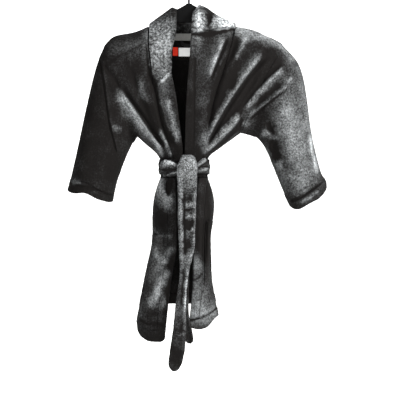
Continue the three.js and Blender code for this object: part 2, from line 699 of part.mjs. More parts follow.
// Rows of a tail: close together where it comes out from under the knot.
const tailRows = [0, 0.02, 0.04, 0.065, 0.13, 0.22, 0.31, 0.4, 0.49, 0.58, 0.67, 0.76, 0.84, 0.92, 1];

/** A tail of the belt that hangs from the knot, a little hollow along its middle. */
function beltTail(tail) {
  const topZ = beltMidZ + 7 - knotSize[2] / 2 - tailDrop;
  const pointAt = (u, t) => {
    const x = along(tail.middle, t) + along(tail.width, t) * (u - 0.5);
    const hollow = 4 * Math.sin(Math.PI * u) * Math.min(1, t * 8);
    const tuck = tailTuck * (1 - THREE.MathUtils.smoothstep(tail.length * t, 0, tailTuckHeight));
    return new THREE.Vector3(x, knotCentreY - tail.standoff + hollow + tuck, topZ - tail.length * t);
  };
  return clothSolid(gridOf(4, tailRows, pointAt), tail.thickness);
}

// ---- pockets ----

/** A stretch of a patch pocket: t runs from its mouth down, and the cloth bows away from the skirt. */
function pocketSheet(name, topZ, bottomZ, rows, thickness, bowAt) {
  const edges = frontSkirtEdges(name, true);
  const [fromShare, toShare] = pocketShare[name];
  const pointAt = (u, t) => {
    const z = lerp(topZ, bottomZ, t);
    const [fromX, toX] = edges(z);
    const x = lerp(fromX, toX, lerp(fromShare, toShare, u) ** 0.75);
    const lay = (clothThickness + thickness) / 2 + layGap;
    const base = onFront(x, z);
    const out = new THREE.Vector3(x - waistCentreX, base.y, 0).normalize();
    return base.addScaledVector(out, lay + pocketClearance + pocketBulge * Math.sin(Math.PI * u) ** 0.7 * bowAt(t));
  };
  return clothSolid(gridOf(8, rows, pointAt), thickness);
}

/** A patch pocket below its hem. */
function pocket(name) {
  const top = pocketMouthZ[name] - pocketHemHeight - seamGap;
  const bow = (t) => Math.cos(t * Math.PI / 2) ** 0.6;
  return pocketSheet(name, top, top - pocketHeight[name], 8, clothThickness, bow);
}

/** The turned hem along a pocket's mouth. */
function pocketHem(name) {
  const top = pocketMouthZ[name];
  return pocketSheet(name, top, top - pocketHemHeight, 2, hemThickness, () => 1);
}

// ---- neck tape, labels and hanging loop, on the inside of the back ----

/** A patch that lies on the inside of the back, by its middle, half width, top and height. */
function insidePatch(centreX, halfWidth, topZ, height, columns) {
  const inset = (clothThickness + tapeThickness) / 2 + layGap + 0.25;
  const pointAt = (u, t) => {
    const x = lerp(centreX - halfWidth, centreX + halfWidth, u);
    const z = topZ - height * t;
    return new THREE.Vector3(x, clearOfBack(x, z, -inset), z);
  };
  return clothSolid(gridOf(columns, 2, pointAt), tapeThickness);
}

/** The loop that hangs the robe on a peg: a tape that hangs in a bow below the neck tape. */
function hangingLoop() {
  const inset = clothThickness / 2 + 2 * layGap + tapeThickness + hangLoop.thickness / 2 + 0.3;
  const topZ = backNeckZ - tapeHeight + 3;
  const faceY = bodyDepth(neckCentreX - hangLoop.halfSpan, topZ, false) - inset;
  const pointAt = (u, t) => {
    const angle = Math.PI * u;
    const reach = lerp(0, hangLoop.tapeWidth, t);
    const x = neckCentreX - 4 - (hangLoop.halfSpan - reach) * Math.cos(angle);
    const z = topZ - (hangLoop.drop - reach) * Math.sin(angle) ** 0.6;
    return new THREE.Vector3(x, faceY - 0.6, z);
  };
  return clothSolid(gridOf(16, 1, pointAt), hangLoop.thickness);
}

// ---- the whole robe ----

add('hanger_hook', hangerHook(), materials.wire);
add('hanger_body', hangerBody(), materials.plastic);
add('back_panel', backPanel(), materials.robe);
add('back_hem', hemStrip(16, (z) => [bodySide(sides.right, z), bodySide(sides.left, z)],
  skirtBottomZ.back + hemHeight, skirtBottomZ.back, onBack, false), materials.hem);

for (const name of ['right', 'left']) {
  const side = sides[name];
  const cuffShare = 1 - hemHeight / side.sleeveLength;
  const gapShare = seamGap / side.sleeveLength;
  add(`${name}_front_bodice`, frontBodice(name), materials.robe);
  add(`${name}_front_band`, frontBand(name), materials.band);
  add(`${name}_front_skirt`, frontSkirt(name), materials.robe);
  add(`${name}_skirt_band`, skirtBand(name), materials.band);
  add(`${name}_front_hem`, hemStrip(8, frontSkirtEdges(name, false),
    skirtBottomZ[name] + hemHeight, skirtBottomZ[name], onFront, true), materials.hem);
  add(`${name}_pocket`, pocket(name), materials.robe);
  add(`${name}_pocket_hem`, pocketHem(name), materials.hem);
  add(`${name}_sleeve`, sleeveTube(side, 0, cuffShare, 9, clothThickness), materials.robe);
  add(`${name}_cuff`, sleeveTube(side, cuffShare + 2 * gapShare, 1, 2, hemThickness), materials.hem);
  add(`${name}_belt_loop`, beltLoop(side), materials.robe);
}

add('right_collar', rightCollar(), materials.hood);
add('left_collar', leftCollar(), materials.hood);
add('hood_right_half', hoodHalf(0, 0.4985), materials.hood);
add('hood_left_half', hoodHalf(0.5015, 1), materials.hood);
add('hood_hem', hoodHem(), materials.hem);

add('neck_tape', insidePatch(neckCentreX, tapeHalfLength, backNeckZ - 0.5, tapeHeight, 12), materials.tape);
add('label', insidePatch(label.centreX, label.halfWidth, label.topZ, label.height, 4), materials.label);
add('size_tab', insidePatch(sizeTab.centreX, sizeTab.halfWidth, sizeTab.topZ, sizeTab.height, 2), materials.tab);
add('hanging_loop', hangingLoop(), materials.loop);

add('belt_waist', beltRing(), materials.belt);
add('belt_knot', beltKnot(), materials.belt);
add('belt_tail_long', beltTail(longTail), materials.belt);
add('belt_tail_short', beltTail(shortTail), materials.belt);

export default robe;
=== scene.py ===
"""A child's hooded plush bathrobe on its clothes hanger, tied at the waist with a soft belt.

Metres in Blender; sizes named in this file are millimetres unless their name says otherwise.
"""
import logging
import math
from dataclasses import dataclass, field
from enum import Enum

import bmesh
import bpy
import numpy as np
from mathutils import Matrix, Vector


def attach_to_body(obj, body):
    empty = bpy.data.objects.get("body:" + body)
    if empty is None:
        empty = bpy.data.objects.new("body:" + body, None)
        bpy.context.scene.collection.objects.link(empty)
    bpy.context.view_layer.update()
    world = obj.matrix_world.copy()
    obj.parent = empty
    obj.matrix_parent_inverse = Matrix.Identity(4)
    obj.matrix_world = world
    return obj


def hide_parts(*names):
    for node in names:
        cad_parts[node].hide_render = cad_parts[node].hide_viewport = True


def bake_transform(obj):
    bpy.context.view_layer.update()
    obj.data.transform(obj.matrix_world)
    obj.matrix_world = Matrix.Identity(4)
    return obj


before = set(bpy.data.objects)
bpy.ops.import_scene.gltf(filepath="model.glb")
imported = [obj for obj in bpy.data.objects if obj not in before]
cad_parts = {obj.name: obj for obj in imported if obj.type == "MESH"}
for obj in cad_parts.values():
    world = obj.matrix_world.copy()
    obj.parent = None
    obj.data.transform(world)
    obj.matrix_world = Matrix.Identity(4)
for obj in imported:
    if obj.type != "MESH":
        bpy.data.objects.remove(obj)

log = logging.getLogger("bathrobe")
MM = 0.001
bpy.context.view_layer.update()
LAPPED_WIDTH = 0.32
"""Share of a fold's width that its sharp, lapped side takes."""
CREASE_PLACE, CREASE_WIDTH, CREASE_DEPTH = 0.62, 0.3, 0.75
"""Where the crease under a lapped side lies, its width and its depth, as shares of the fold's own."""
BELT_MIDDLE = -398.0
"""Height of the belt's middle."""
SEAM_Y = -3.0
"""y of the seam between the front and the back of each sleeve."""


class Side(Enum):
    """Which face of the robe a piece of cloth belongs to."""

    FRONT = -1
    BACK = 1
    ROUND = 0


class Hold(Enum):
    HUNG = "hung"
    GATHERED = "gathered"
    FOLDED = "folded"
    STRETCHED = "stretched"


# ---------------------------------------------------------------- folds


@dataclass(frozen=True)
class Fold:
    """A fold, roll or crease that runs across the cloth, as seen from in front of it.

    Attributes:
        path: Points (x, z) along its crest.
        width: Half width across the crest.
        height: How far the crest stands out; a crease is negative.
        painted_light: Painted highlight along its crest, where the pile's silvery tips show; negative paints
            shade.
        fade: Share of its length over which each end dies away.
        lean: 1 for a fold that laps over sharply on the left of its path, -1 on the right, 0 for an even one.
    """

    path: tuple[tuple[float, float], ...]
    width: float
    height: float
    painted_light: float = 0.0
    fade: float = 0.2
    lean: float = 0.0

    def across(self, gap: np.ndarray) -> tuple[np.ndarray, np.ndarray]:
        """The fold's profile.

        Args:
            gap: Signed distances from its crest, positive on the left.

        Returns:
            The crest from 0 to 1, and the crease under a lapped side from 0 to 1.
        """
        lapped = gap * self.lean > 0.0
        wide = np.where(lapped, LAPPED_WIDTH, 1.0) * self.width
        crease = lapped * bell(np.abs(gap), CREASE_PLACE * self.width, CREASE_WIDTH * self.width)
        return bell(gap, 0.0, wide), crease * abs(self.lean)

    def ends(self, share: np.ndarray) -> np.ndarray:
        """How much of the fold is left at each share of its length."""
        return smooth_step(share, -0.001, self.fade) * smooth_step(1.0 - share, -0.001, self.fade)


@dataclass(frozen=True)
class Patch:
    """A broad soft area of the cloth with painted light on it, painted shade where its value is negative.

    Attributes:
        centre: Its middle (x, z).
        radii: Half sizes across and up.
        painted_light: Painted light it adds to the pile's lightness; a negative value paints shade.
        height: How far the cloth billows out there.
    """

    centre: tuple[float, float]
    radii: tuple[float, float]
    painted_light: float
    height: float = 0.0

    def at(self, across: np.ndarray, up: np.ndarray) -> np.ndarray:
        """How much of the patch there is at each distance from its middle."""
        return np.exp(-((across / self.radii[0]) ** 2) - (up / self.radii[1]) ** 2)


def lattice(cells: np.ndarray, seed: int) -> np.ndarray:
    """A repeatable value from 0 to 1 for each whole-numbered cell.

    Args:
        cells: Whole numbers, one row of three for each cell.
        seed: Picks another set of values.

    Returns:
        One value for each row.
    """
    mixed = (cells[:, 0] * 73856093) ^ (cells[:, 1] * 19349663) ^ (cells[:, 2] * 83492791) ^ (seed * 2654435)
    mixed = (mixed ^ (mixed >> 13)) * 1274126177
    return ((mixed ^ (mixed >> 16)) & 0xFFFF) / 65535.0


def soft_noise(points: np.ndarray, size: float, seed: int) -> np.ndarray:
    """Smooth noise from -1 to 1 that changes over lengths of about size.

    Args:
        points: Rows of three coordinates.
        size: Length over which the noise changes.
        seed: Picks another pattern.

    Returns:
        One value for each row.
    """
    scaled = points / size
    cell = np.floor(scaled).astype(np.int64)
    part = scaled - cell
    part = part * part * (3.0 - 2.0 * part)
    total = np.zeros(len(points))
    for corner in range(8):
        step = np.array([corner & 1, (corner >> 1) & 1, (corner >> 2) & 1])
        weight = np.prod(np.where(step == 1, part, 1.0 - part), axis=1)
        total += weight * lattice(cell + step, seed)
    return 2.0 * total - 1.0


def smooth_step(value: np.ndarray, low: float, high: float) -> np.ndarray:
    """A smooth rise from 0 at low to 1 at high."""
    share = np.clip((value - low) / (high - low), 0.0, 1.0)
    return share * share * (3.0 - 2.0 * share)


def bell(value: np.ndarray, middle: float, width: float | np.ndarray, power: int = 2) -> np.ndarray:
    """A hump of height 1 at middle that dies away over width; a higher power flattens its top."""
    return np.exp(-(((value - middle) / width) ** power))


def from_path(
    x: np.ndarray, z: np.ndarray, path: tuple[tuple[float, float], ...]
) -> tuple[np.ndarray, np.ndarray]:
    """Distance of points from a path, and how far along it they lie.

    Args:
        x: Across, one value for each point.
        z: Up, one value for each point.
        path: Corners of the path.

    Returns:
        The distances, positive on the left of the path, and the shares of its length from 0 to 1.
    """
    lengths = [math.dist(a, b) for a, b in zip(path, path[1:])]
    whole = sum(lengths)
    best = np.full(len(x), 1e9)
    share = np.zeros(len(x))
    run = 0.0
    for (ax, az), (bx, bz), length in zip(path, path[1:], lengths):
        along = np.clip(((x - ax) * (bx - ax) + (z - az) * (bz - az)) / length**2, 0.0, 1.0)
        gap = np.hypot(x - ax - along * (bx - ax), z - az - along * (bz - az))
        turn = np.where((bx - ax) * (z - az) - (bz - az) * (x - ax) < 0.0, -1.0, 1.0)
        closer = gap < np.abs(best)
        best = np.where(closer, gap * turn, best)
        share = np.where(closer, (run + along * length) / whole, share)
        run += length
    return best, share


@dataclass(frozen=True)
class Relief:
    """The folds and patches of one face of the cloth.

    Attributes:
        folds: Its folds and creases.
        patches: Its broad soft areas of painted light and shade, some billowing.
        base: Lightness of the pile away from them.
    """

    folds: tuple[Fold, ...] = ()
    patches: tuple[Patch, ...] = ()
    base: float = 0.1

    def at(self, x: np.ndarray, z: np.ndarray) -> tuple[np.ndarray, np.ndarray]:
        """How far the cloth stands out, and how light its pile is, with painted highlights on crests and
        painted shade in creases.

        Args:
            x: Across, one value for each point.
            z: Up, one value for each point.

        Returns:
            Heights in millimetres and lightness from 0 to 1.
        """
        height = np.zeros(len(x))
        painted_light = np.full(len(x), self.base)
        flat = np.stack([x, np.zeros(len(x)), z], axis=1)
        near = soft_noise(flat, 10.0, 71) * 3.0 + soft_noise(flat, 4.0, 72) * 1.6
        side = soft_noise(flat, 10.0, 73) * 3.0 + soft_noise(flat, 4.0, 74) * 1.6
        for fold in self.folds:
            gap, share = from_path(x, z, fold.path)
            crest, crease = fold.across(gap)
            height += fold.height * (crest - CREASE_DEPTH * crease) * fold.ends(share)
            ragged = min(1.0, fold.width / 7.0)
            loose, share = from_path(x + near * ragged, z + side * ragged, fold.path)
            crest, crease = fold.across(np.where(gap * fold.lean > 0.0, gap, loose))
            # The crest gets a painted highlight, the crease under a lapped side painted shade.
            painted_light += (fold.painted_light * crest - 0.3 * crease) * fold.ends(share)
        for patch in self.patches:
            across, up = x - patch.centre[0], z - patch.centre[1]
            height += patch.height * patch.at(across, up)
            painted_light += patch.painted_light * patch.at(across + 1.5 * near, up + 1.5 * side)
        return height, painted_light


# ---------------------------------------------------------------- finishes


def grouped_material(
    name: str, group: bpy.types.ShaderNodeTree, values: dict[str, object], bump: tuple[float, float],
    settings: dict[str, object],
) -> bpy.types.Material:
    """A material whose shader is fed by a shared group, with a bump.

    Args:
        name: The material's name.
        group: The shared group.
        values: Constants for the group's inputs.
        bump: The bump's strength, and its depth in millimetres.
        settings: Constants for the shader's own sockets.

    Returns:
        The new material, whose group node is named shared.
    """
    material = bpy.data.materials.new(name)
    material.use_nodes = True
    nodes, links = material.node_tree.nodes, material.node_tree.links
    shader = nodes["Principled BSDF"]
    shared = nodes.new("ShaderNodeGroup")
    shared.name = "shared"
    shared.node_tree = group
    for label, value in values.items():
        shared.inputs[label].default_value = value
    for label, value in settings.items():
        shader.inputs[label].default_value = value
    relief = nodes.new("ShaderNodeBump")
    relief.inputs["Strength"].default_value = bump[0]
    relief.inputs["Distance"].default_value = bump[1] * MM
    links.new(shared.outputs["Color"], shader.inputs["Base Color"])
    if "Roughness" in shared.outputs:
        links.new(shared.outputs["Roughness"], shader.inputs["Roughness"])
    links.new(shared.outputs["Height"], relief.inputs["Height"])
    links.new(relief.outputs["Normal"], shader.inputs["Normal"])
    return material


@dataclass(frozen=True)
class PlushFinish:
    """A brushed plush cloth, dark at the root of its pile and silvery at its tips.

    Attributes:
        name: The material's name.
        root: Colour of the pile's dark root, shown where its tone is dark and where painted shade falls.
        tip: Colour of its silvery tips, shown where its tone is light and where painted highlights fall.
        lift: Added to the lightness everywhere.
        clump_size: Size of a clump of pile.
        sparkle: How unevenly the tips catch the light.
        depth: How deep the bump is.
    """

    name: str
    root: tuple[float, float, float] = (0.0074, 0.0067, 0.0063)
    tip: tuple[float, float, float] = (0.66, 0.69, 0.70)
    lift: float = -0.05
    clump_size: float = 3.6
    sparkle: float = 0.75
    depth: float = 1.3

    def build(self) -> bpy.types.Material:
        """Makes the material.

        Returns:
            The new material.
        """
        material = grouped_material(
            self.name, pile_group(),
            {"Root": (*self.root, 1.0), "Tip": (*self.tip, 1.0), "Lift": self.lift,
             "Clumps": 1.0 / (self.clump_size * MM), "Sparkle": self.sparkle},
            (0.8, self.depth),
            {"Specular IOR Level": 0.04, "Sheen Weight": 0.015, "Sheen Roughness": 0.4,
             "Sheen Tint": (0.62, 0.64, 0.67, 1.0)},
        )
        # The stored tone carries the painted highlights and shade.
        tone_and_painted_light = material.node_tree.nodes.new("ShaderNodeAttribute")
        tone_and_painted_light.attribute_name = "tone_and_painted_light"
        material.node_tree.links.new(tone_and_painted_light.outputs["Fac"], material.node_tree.nodes["shared"].inputs["Tone_and_painted_light"])
        return material


@dataclass(frozen=True)
class WovenFinish:
    """A flat woven tape or label.

    Attributes:
        name: The material's name.
        colour: Colour of the thread.
        shade: Colour between the threads.
        thread: Width of one thread.
        gloss: Roughness of the thread.
        painted_glow: How much painted glow it gives in its own colour, to brighten it deep inside the neck.
    """

    name: str
    colour: tuple[float, float, float]
    shade: tuple[float, float, float]
    thread: float = 0.7
    gloss: float = 0.7
    painted_glow: float = 0.0

    def build(self) -> bpy.types.Material:
        """Makes the material.

        Returns:
            The new material.
        """
        # The emission is painted glow in the thread's own colour.
        return grouped_material(
            self.name, weave_group(),
            {"Thread": (*self.colour, 1.0), "Between": (*self.shade, 1.0),
             "Threads": math.pi / (self.thread * MM)},
            (0.5, 0.25),
            {"Roughness": self.gloss, "Emission Color": (*self.colour, 1.0), "Emission Strength": self.painted_glow,
             "Specular IOR Level": 0.3, "Sheen Weight": 0.1},
        )


@dataclass(frozen=True)
class HardFinish:
    """Moulded plastic or plated wire, with fine grain and rubbed places.

    Attributes:
        name: The material's name.
        colour: Its colour.
        worn: Its colour where it is rubbed.
        gloss: Roughness of the clean surface.
        metallic: 1 for metal.
        grain: Size of the grain.
    """

    name: str
    colour: tuple[float, float, float]
    worn: tuple[float, float, float]
    gloss: float
    metallic: float
    grain: float

    def build(self) -> bpy.types.Material:
        """Makes the material.

        Returns:
            The new material.
        """
        return grouped_material(
            self.name, wear_group(),
            {"Clean": (*self.colour, 1.0), "Worn": (*self.worn, 1.0), "Gloss": self.gloss,
             "Grains": 1.0 / (self.grain * MM)},
            (0.25, 0.15),
            {"Metallic": self.metallic, "Specular IOR Level": 0.08},
        )


def new_group(name: str, inputs: dict[str, str], outputs: dict[str, str]) -> bpy.types.ShaderNodeTree:
    """Starts a node group with its named sockets.

    Args:
        name: The group's name.
        inputs: Socket type for each input's name.
        outputs: Socket type for each output's name.

    Returns:
        The group, with an input node and an output node in it.
    """
    tree = bpy.data.node_groups.new(name, "ShaderNodeTree")
    for label, kind in inputs.items():
        tree.interface.new_socket(label, in_out="INPUT", socket_type=kind)
    for label, kind in outputs.items():
        tree.interface.new_socket(label, in_out="OUTPUT", socket_type=kind)
    tree.nodes.new("NodeGroupInput").name = "in"
    tree.nodes.new("NodeGroupOutput").name = "out"
    return tree


def add_noise(tree: bpy.types.ShaderNodeTree, detail: float, roughness: float) -> bpy.types.Node:
    """A noise texture over the object's own coordinates.

    Args:
        tree: The group it goes into.
        detail: How many finer layers it has.
        roughness: How strong the finer layers are.

    Returns:
        The noise node.
    """
    place = tree.nodes.get("place")
    if place is None:
        place = tree.nodes.new("ShaderNodeTexCoord")
        place.name = "place"
    noise = tree.nodes.new("ShaderNodeTexNoise")
    noise.inputs["Detail"].default_value = detail
    noise.inputs["Roughness"].default_value = roughness
    tree.links.new(place.outputs["Object"], noise.inputs["Vector"])
    return noise


def add_math(tree: bpy.types.ShaderNodeTree, operation: str, *values: object) -> bpy.types.NodeSocket:
    """A math node, each of whose inputs is a number or an output to link.

    Args:
        tree: The group it goes into.
        operation: Blender's name for what it does.
        *values: Its inputs.

    Returns:
        Its output.
    """
    node = tree.nodes.new("ShaderNodeMath")
    node.operation = operation
    for slot, value in zip(node.inputs, values):
        if isinstance(value, (int, float)):
            slot.default_value = value
        else:
            tree.links.new(value, slot)
    return node.outputs[0]


def add_mix(tree: bpy.types.ShaderNodeTree, share: object, low: object, high: object) -> bpy.types.NodeSocket:
    """A colour mixed from two by a share.

    Args:
        tree: The group it goes into.
        share: Output that gives the share.
        low: Output that gives the colour at 0.
        high: Output that gives the colour at 1.

    Returns:
        The mixed colour's output.
    """
    node = tree.nodes.new("ShaderNodeMix")
    node.data_type = "RGBA"
    tree.links.new(share, node.inputs[0])
    tree.links.new(low, node.inputs[6])
    tree.links.new(high, node.inputs[7])
    return node.outputs[2]


def pile_group() -> bpy.types.ShaderNodeTree:
    """The plush cloth's pile: clumps, single fibres and brushed patches, mixed from root to tip by the stored
    tone with its painted highlights and shade.

    Returns:
        The shared group, made the first time.
    """
    if "plush pile" in bpy.data.node_groups:
        return bpy.data.node_groups["plush pile"]
    tree = new_group(
        "plush pile",
        {"Root": "NodeSocketColor", "Tip": "NodeSocketColor", "Tone_and_painted_light": "NodeSocketFloat",
         "Lift": "NodeSocketFloat", "Clumps": "NodeSocketFloat", "Sparkle": "NodeSocketFloat"},
        {"Color": "NodeSocketColor", "Roughness": "NodeSocketFloat", "Height": "NodeSocketFloat"},
    )
    start, end = tree.nodes["in"], tree.nodes["out"]
    clump = add_noise(tree, 3.0, 0.62)
    tree.links.new(start.outputs["Clumps"], clump.inputs["Scale"])
    fibre = add_noise(tree, 2.0, 0.6)
    tree.links.new(add_math(tree, "MULTIPLY", start.outputs["Clumps"], 3.6), fibre.inputs["Scale"])
    brushed = add_noise(tree, 2.0, 0.55)
    tree.links.new(add_math(tree, "MULTIPLY", start.outputs["Clumps"], 0.16), brushed.inputs["Scale"])
    tone_and_painted_light = add_math(tree, "MULTIPLY_ADD", start.outputs["Tone_and_painted_light"], 0.62, start.outputs["Lift"])
    speckle = add_math(tree, "MULTIPLY_ADD", clump.outputs["Fac"], 3.2, -1.6)
    fine = add_math(tree, "MULTIPLY_ADD", fibre.outputs["Fac"], 2.4, -1.2)
    patches = add_math(tree, "MULTIPLY_ADD", brushed.outputs["Fac"], 1.6, -0.8)
    grain = add_math(tree, "ADD", speckle, fine)
    strength = add_math(tree, "MULTIPLY_ADD", tone_and_painted_light, start.outputs["Sparkle"], 0.06)
    varied = add_math(tree, "MULTIPLY_ADD", grain, strength, tone_and_painted_light)
    swept = add_math(tree, "MULTIPLY_ADD", patches, add_math(tree, "MULTIPLY_ADD", tone_and_painted_light, 0.6, 0.05), varied)
    share = add_math(tree, "MINIMUM", add_math(tree, "MAXIMUM", swept, 0.0), 1.0)
    curved = add_math(tree, "POWER", share, 1.5)
    tree.links.new(add_mix(tree, curved, start.outputs["Root"], start.outputs["Tip"]), end.inputs["Color"])
    tree.links.new(add_math(tree, "MULTIPLY_ADD", share, -0.14, 0.95), end.inputs["Roughness"])
    tall = add_math(tree, "MULTIPLY_ADD", clump.outputs["Fac"], 0.7, 0.0)
    tree.links.new(add_math(tree, "MULTIPLY_ADD", fibre.outputs["Fac"], 0.3, tall), end.inputs["Height"])
    return tree


def weave_group() -> bpy.types.ShaderNodeTree:
    """A plain weave of threads across and up.

    Returns:
        The shared group, made the first time.
    """
    if "plain weave" in bpy.data.node_groups:
        return bpy.data.node_groups["plain weave"]
    tree = new_group(
        "plain weave",
        {"Thread": "NodeSocketColor", "Between": "NodeSocketColor", "Threads": "NodeSocketFloat"},
        {"Color": "NodeSocketColor", "Height": "NodeSocketFloat"},
    )
    start, end = tree.nodes["in"], tree.nodes["out"]
    uneven = add_noise(tree, 2.0, 0.5)
    uneven.inputs["Scale"].default_value = 260.0
    split = tree.nodes.new("ShaderNodeSeparateXYZ")
    tree.links.new(tree.nodes["place"].outputs["Object"], split.inputs[0])
    across = add_math(tree, "SINE", add_math(tree, "MULTIPLY", split.outputs[0], start.outputs["Threads"]))
    upward = add_math(tree, "SINE", add_math(tree, "MULTIPLY", split.outputs[2], start.outputs["Threads"]))
    cross = add_math(tree, "ABSOLUTE", add_math(tree, "MULTIPLY", across, upward))
    woven = add_math(tree, "MULTIPLY", cross, 0.6)
    height = add_math(tree, "MULTIPLY_ADD", uneven.outputs["Fac"], 0.5, woven)
    share = add_math(tree, "MINIMUM", add_math(tree, "MULTIPLY_ADD", height, 1.1, 0.15), 1.0)
    mixed = add_mix(tree, share, start.outputs["Between"], start.outputs["Thread"])
    tree.links.new(mixed, end.inputs["Color"])
    tree.links.new(height, end.inputs["Height"])
    return tree


def wear_group() -> bpy.types.ShaderNodeTree:
    """Fine grain with rubbed, slightly lighter places.

    Returns:
        The shared group, made the first time.
    """
    if "rubbed grain" in bpy.data.node_groups:
        return bpy.data.node_groups["rubbed grain"]
    tree = new_group(
        "rubbed grain",
        {"Clean": "NodeSocketColor", "Worn": "NodeSocketColor", "Gloss": "NodeSocketFloat",
         "Grains": "NodeSocketFloat"},
        {"Color": "NodeSocketColor", "Roughness": "NodeSocketFloat", "Height": "NodeSocketFloat"},
    )
    start, end = tree.nodes["in"], tree.nodes["out"]
    grain = add_noise(tree, 3.0, 0.6)
    tree.links.new(start.outputs["Grains"], grain.inputs["Scale"])
    rubbed = add_noise(tree, 4.0, 0.65)
    tree.links.new(add_math(tree, "MULTIPLY", start.outputs["Grains"], 0.03), rubbed.inputs["Scale"])
    share = add_math(tree, "MULTIPLY_ADD", rubbed.outputs["Fac"], 3.0, -1.5)
    share = add_math(tree, "MINIMUM", add_math(tree, "MAXIMUM", share, 0.0), 1.0)
    tree.links.new(add_mix(tree, share, start.outputs["Clean"], start.outputs["Worn"]), end.inputs["Color"])
    gloss = add_math(tree, "MULTIPLY_ADD", share, 0.15, start.outputs["Gloss"])
    tree.links.new(gloss, end.inputs["Roughness"])
    tree.links.new(grain.outputs["Fac"], end.inputs["Height"])
    return tree


@dataclass
class Wardrobe:
    """Every finish of the robe, built once.

    Attributes:
        body: Plush of the body and the sleeves.
        hem: Plush where it is turned and stitched.
        fleece: Deeper plush of the hood and its collars.
        belt: Plush of the belt.
        tape: Light tape at the neck.
        loop: Black tape of the hanging loop, whose black also stands for the shadow in the dark band under
            the neck tape.
        label: Plain white label.
        tab: Plain red tab.
        plastic: The hanger's plastic.
        wire: The hook's wire.
    """

    body: bpy.types.Material = field(init=False)
    hem: bpy.types.Material = field(init=False)
    fleece: bpy.types.Material = field(init=False)
    belt: bpy.types.Material = field(init=False)
    tape: bpy.types.Material = field(init=False)
    loop: bpy.types.Material = field(init=False)
    label: bpy.types.Material = field(init=False)
    tab: bpy.types.Material = field(init=False)
    plastic: bpy.types.Material = field(init=False)
    wire: bpy.types.Material = field(init=False)

    def __post_init__(self) -> None:
        """Builds the materials."""
        self.body = PlushFinish("charcoal_plush").build()
        self.hem = PlushFinish("charcoal_plush_hem", clump_size=3.2).build()
        self.fleece = PlushFinish("charcoal_plush_deep", clump_size=5.0, sparkle=1.25, depth=2.6).build()
        self.belt = PlushFinish("charcoal_plush_belt", clump_size=3.0, sparkle=1.3, depth=1.6).build()
        self.tape = WovenFinish("light_grey_tape", (0.42, 0.42, 0.40), (0.16, 0.16, 0.15), 1.1).build()
        # The loop's black fills the dark band under the neck tape, partly as painted shadow.
        self.loop = WovenFinish("black_tape_and_painted_shadow", (0.006, 0.006, 0.007), (0.002, 0.002, 0.002), 0.8).build()
        # The label and the tab glow a little: painted light that brightens them inside the neck.
        self.label = WovenFinish(
            "white_satin", (0.95, 0.95, 0.94), (0.75, 0.75, 0.74), 0.4, 0.45, 0.35
        ).build()
        self.tab = WovenFinish("red_tape", (0.86, 0.035, 0.012), (0.6, 0.02, 0.008), 0.5, 0.5, 0.3).build()
        self.plastic = HardFinish(
            "black_plastic", (0.0012, 0.0012, 0.0013), (0.003, 0.003, 0.003), 0.5, 0.0, 0.5
        ).build()
        self.wire = HardFinish("dark_wire", (0.012, 0.012, 0.013), (0.05, 0.05, 0.05), 0.35, 1.0, 0.6).build()


# ---------------------------------------------------------------- meshes of cloth


def smooth_copy(node: str, name: str, levels: int, pile: float = 0.55) -> bpy.types.Object:
    """A finely divided, rounded copy of a CAD node, with its rim kept sharp.

    Args:
        node: The CAD node's name.
        name: The new piece's name.
        levels: How many times each face is divided.
        pile: How far the pile stands out of the woven ground on every side, so that it closes the seams.

    Returns:
        The new piece, linked to the scene.
    """
    shape = bmesh.new()
    shape.from_mesh(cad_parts[node].data)
    bmesh.ops.remove_doubles(shape, verts=shape.verts, dist=2e-5)
    bmesh.ops.join_triangles(
        shape, faces=shape.faces[:], cmp_seam=False, cmp_sharp=False, cmp_uvs=False, cmp_vcols=False,
        cmp_materials=False, angle_face_threshold=math.radians(60), angle_shape_threshold=math.radians(180),
    )
    shape.normal_update()
    moves = [(v, v.normal * (pile * MM * min(v.calc_shell_factor(), 2.0))) for v in shape.verts]
    for vert, move in moves:
        vert.co += move
    crease = shape.edges.layers.float.new("crease_edge")
    for edge in shape.edges:
        if len(edge.link_faces) == 2 and edge.calc_face_angle() > math.radians(50):
            edge[crease] = 1.0
    mesh = bpy.data.meshes.new(name)
    shape.to_mesh(mesh)
    shape.free()
    piece = bpy.data.objects.new(name, mesh)
    bpy.context.collection.objects.link(piece)
    divide = piece.modifiers.new("smooth", "SUBSURF")
    divide.levels = levels
    divide.render_levels = levels
    return settle(piece)


def settle(piece: bpy.types.Object) -> bpy.types.Object:
    """Applies all of a piece's modifiers to its mesh.

    Args:
        piece: The piece.

    Returns:
        The same piece.
    """
    seen = piece.evaluated_get(bpy.context.evaluated_depsgraph_get())
    made = bpy.data.meshes.new_from_object(seen)
    made.name = piece.name
    piece.modifiers.clear()
    old = piece.data
    piece.data = made
    bpy.data.meshes.remove(old)
    return piece


def read_points(piece: bpy.types.Object) -> np.ndarray:
    """Reads the piece's vertices.

    Args:
        piece: The piece.

    Returns:
        Its vertices in millimetres, one row each.
    """
    flat = np.empty(3 * len(piece.data.vertices))
    piece.data.vertices.foreach_get("co", flat)
    return flat.reshape(-1, 3) / MM


def read_normals(piece: bpy.types.Object) -> np.ndarray:
    """Reads the piece's vertex normals.

    Args:
        piece: The piece.

    Returns:
        Its normals, one row each.
    """
    flat = np.empty(3 * len(piece.data.vertices))
    piece.data.vertices.foreach_get("normal", flat)
    return flat.reshape(-1, 3)


def write_points(piece: bpy.types.Object, points: np.ndarray) -> None:
    """Moves the piece's vertices.

    Args:
        piece: The piece.
        points: Its vertices in millimetres, one row each.
    """
    piece.data.vertices.foreach_set("co", (points * MM).ravel())
    piece.data.update()


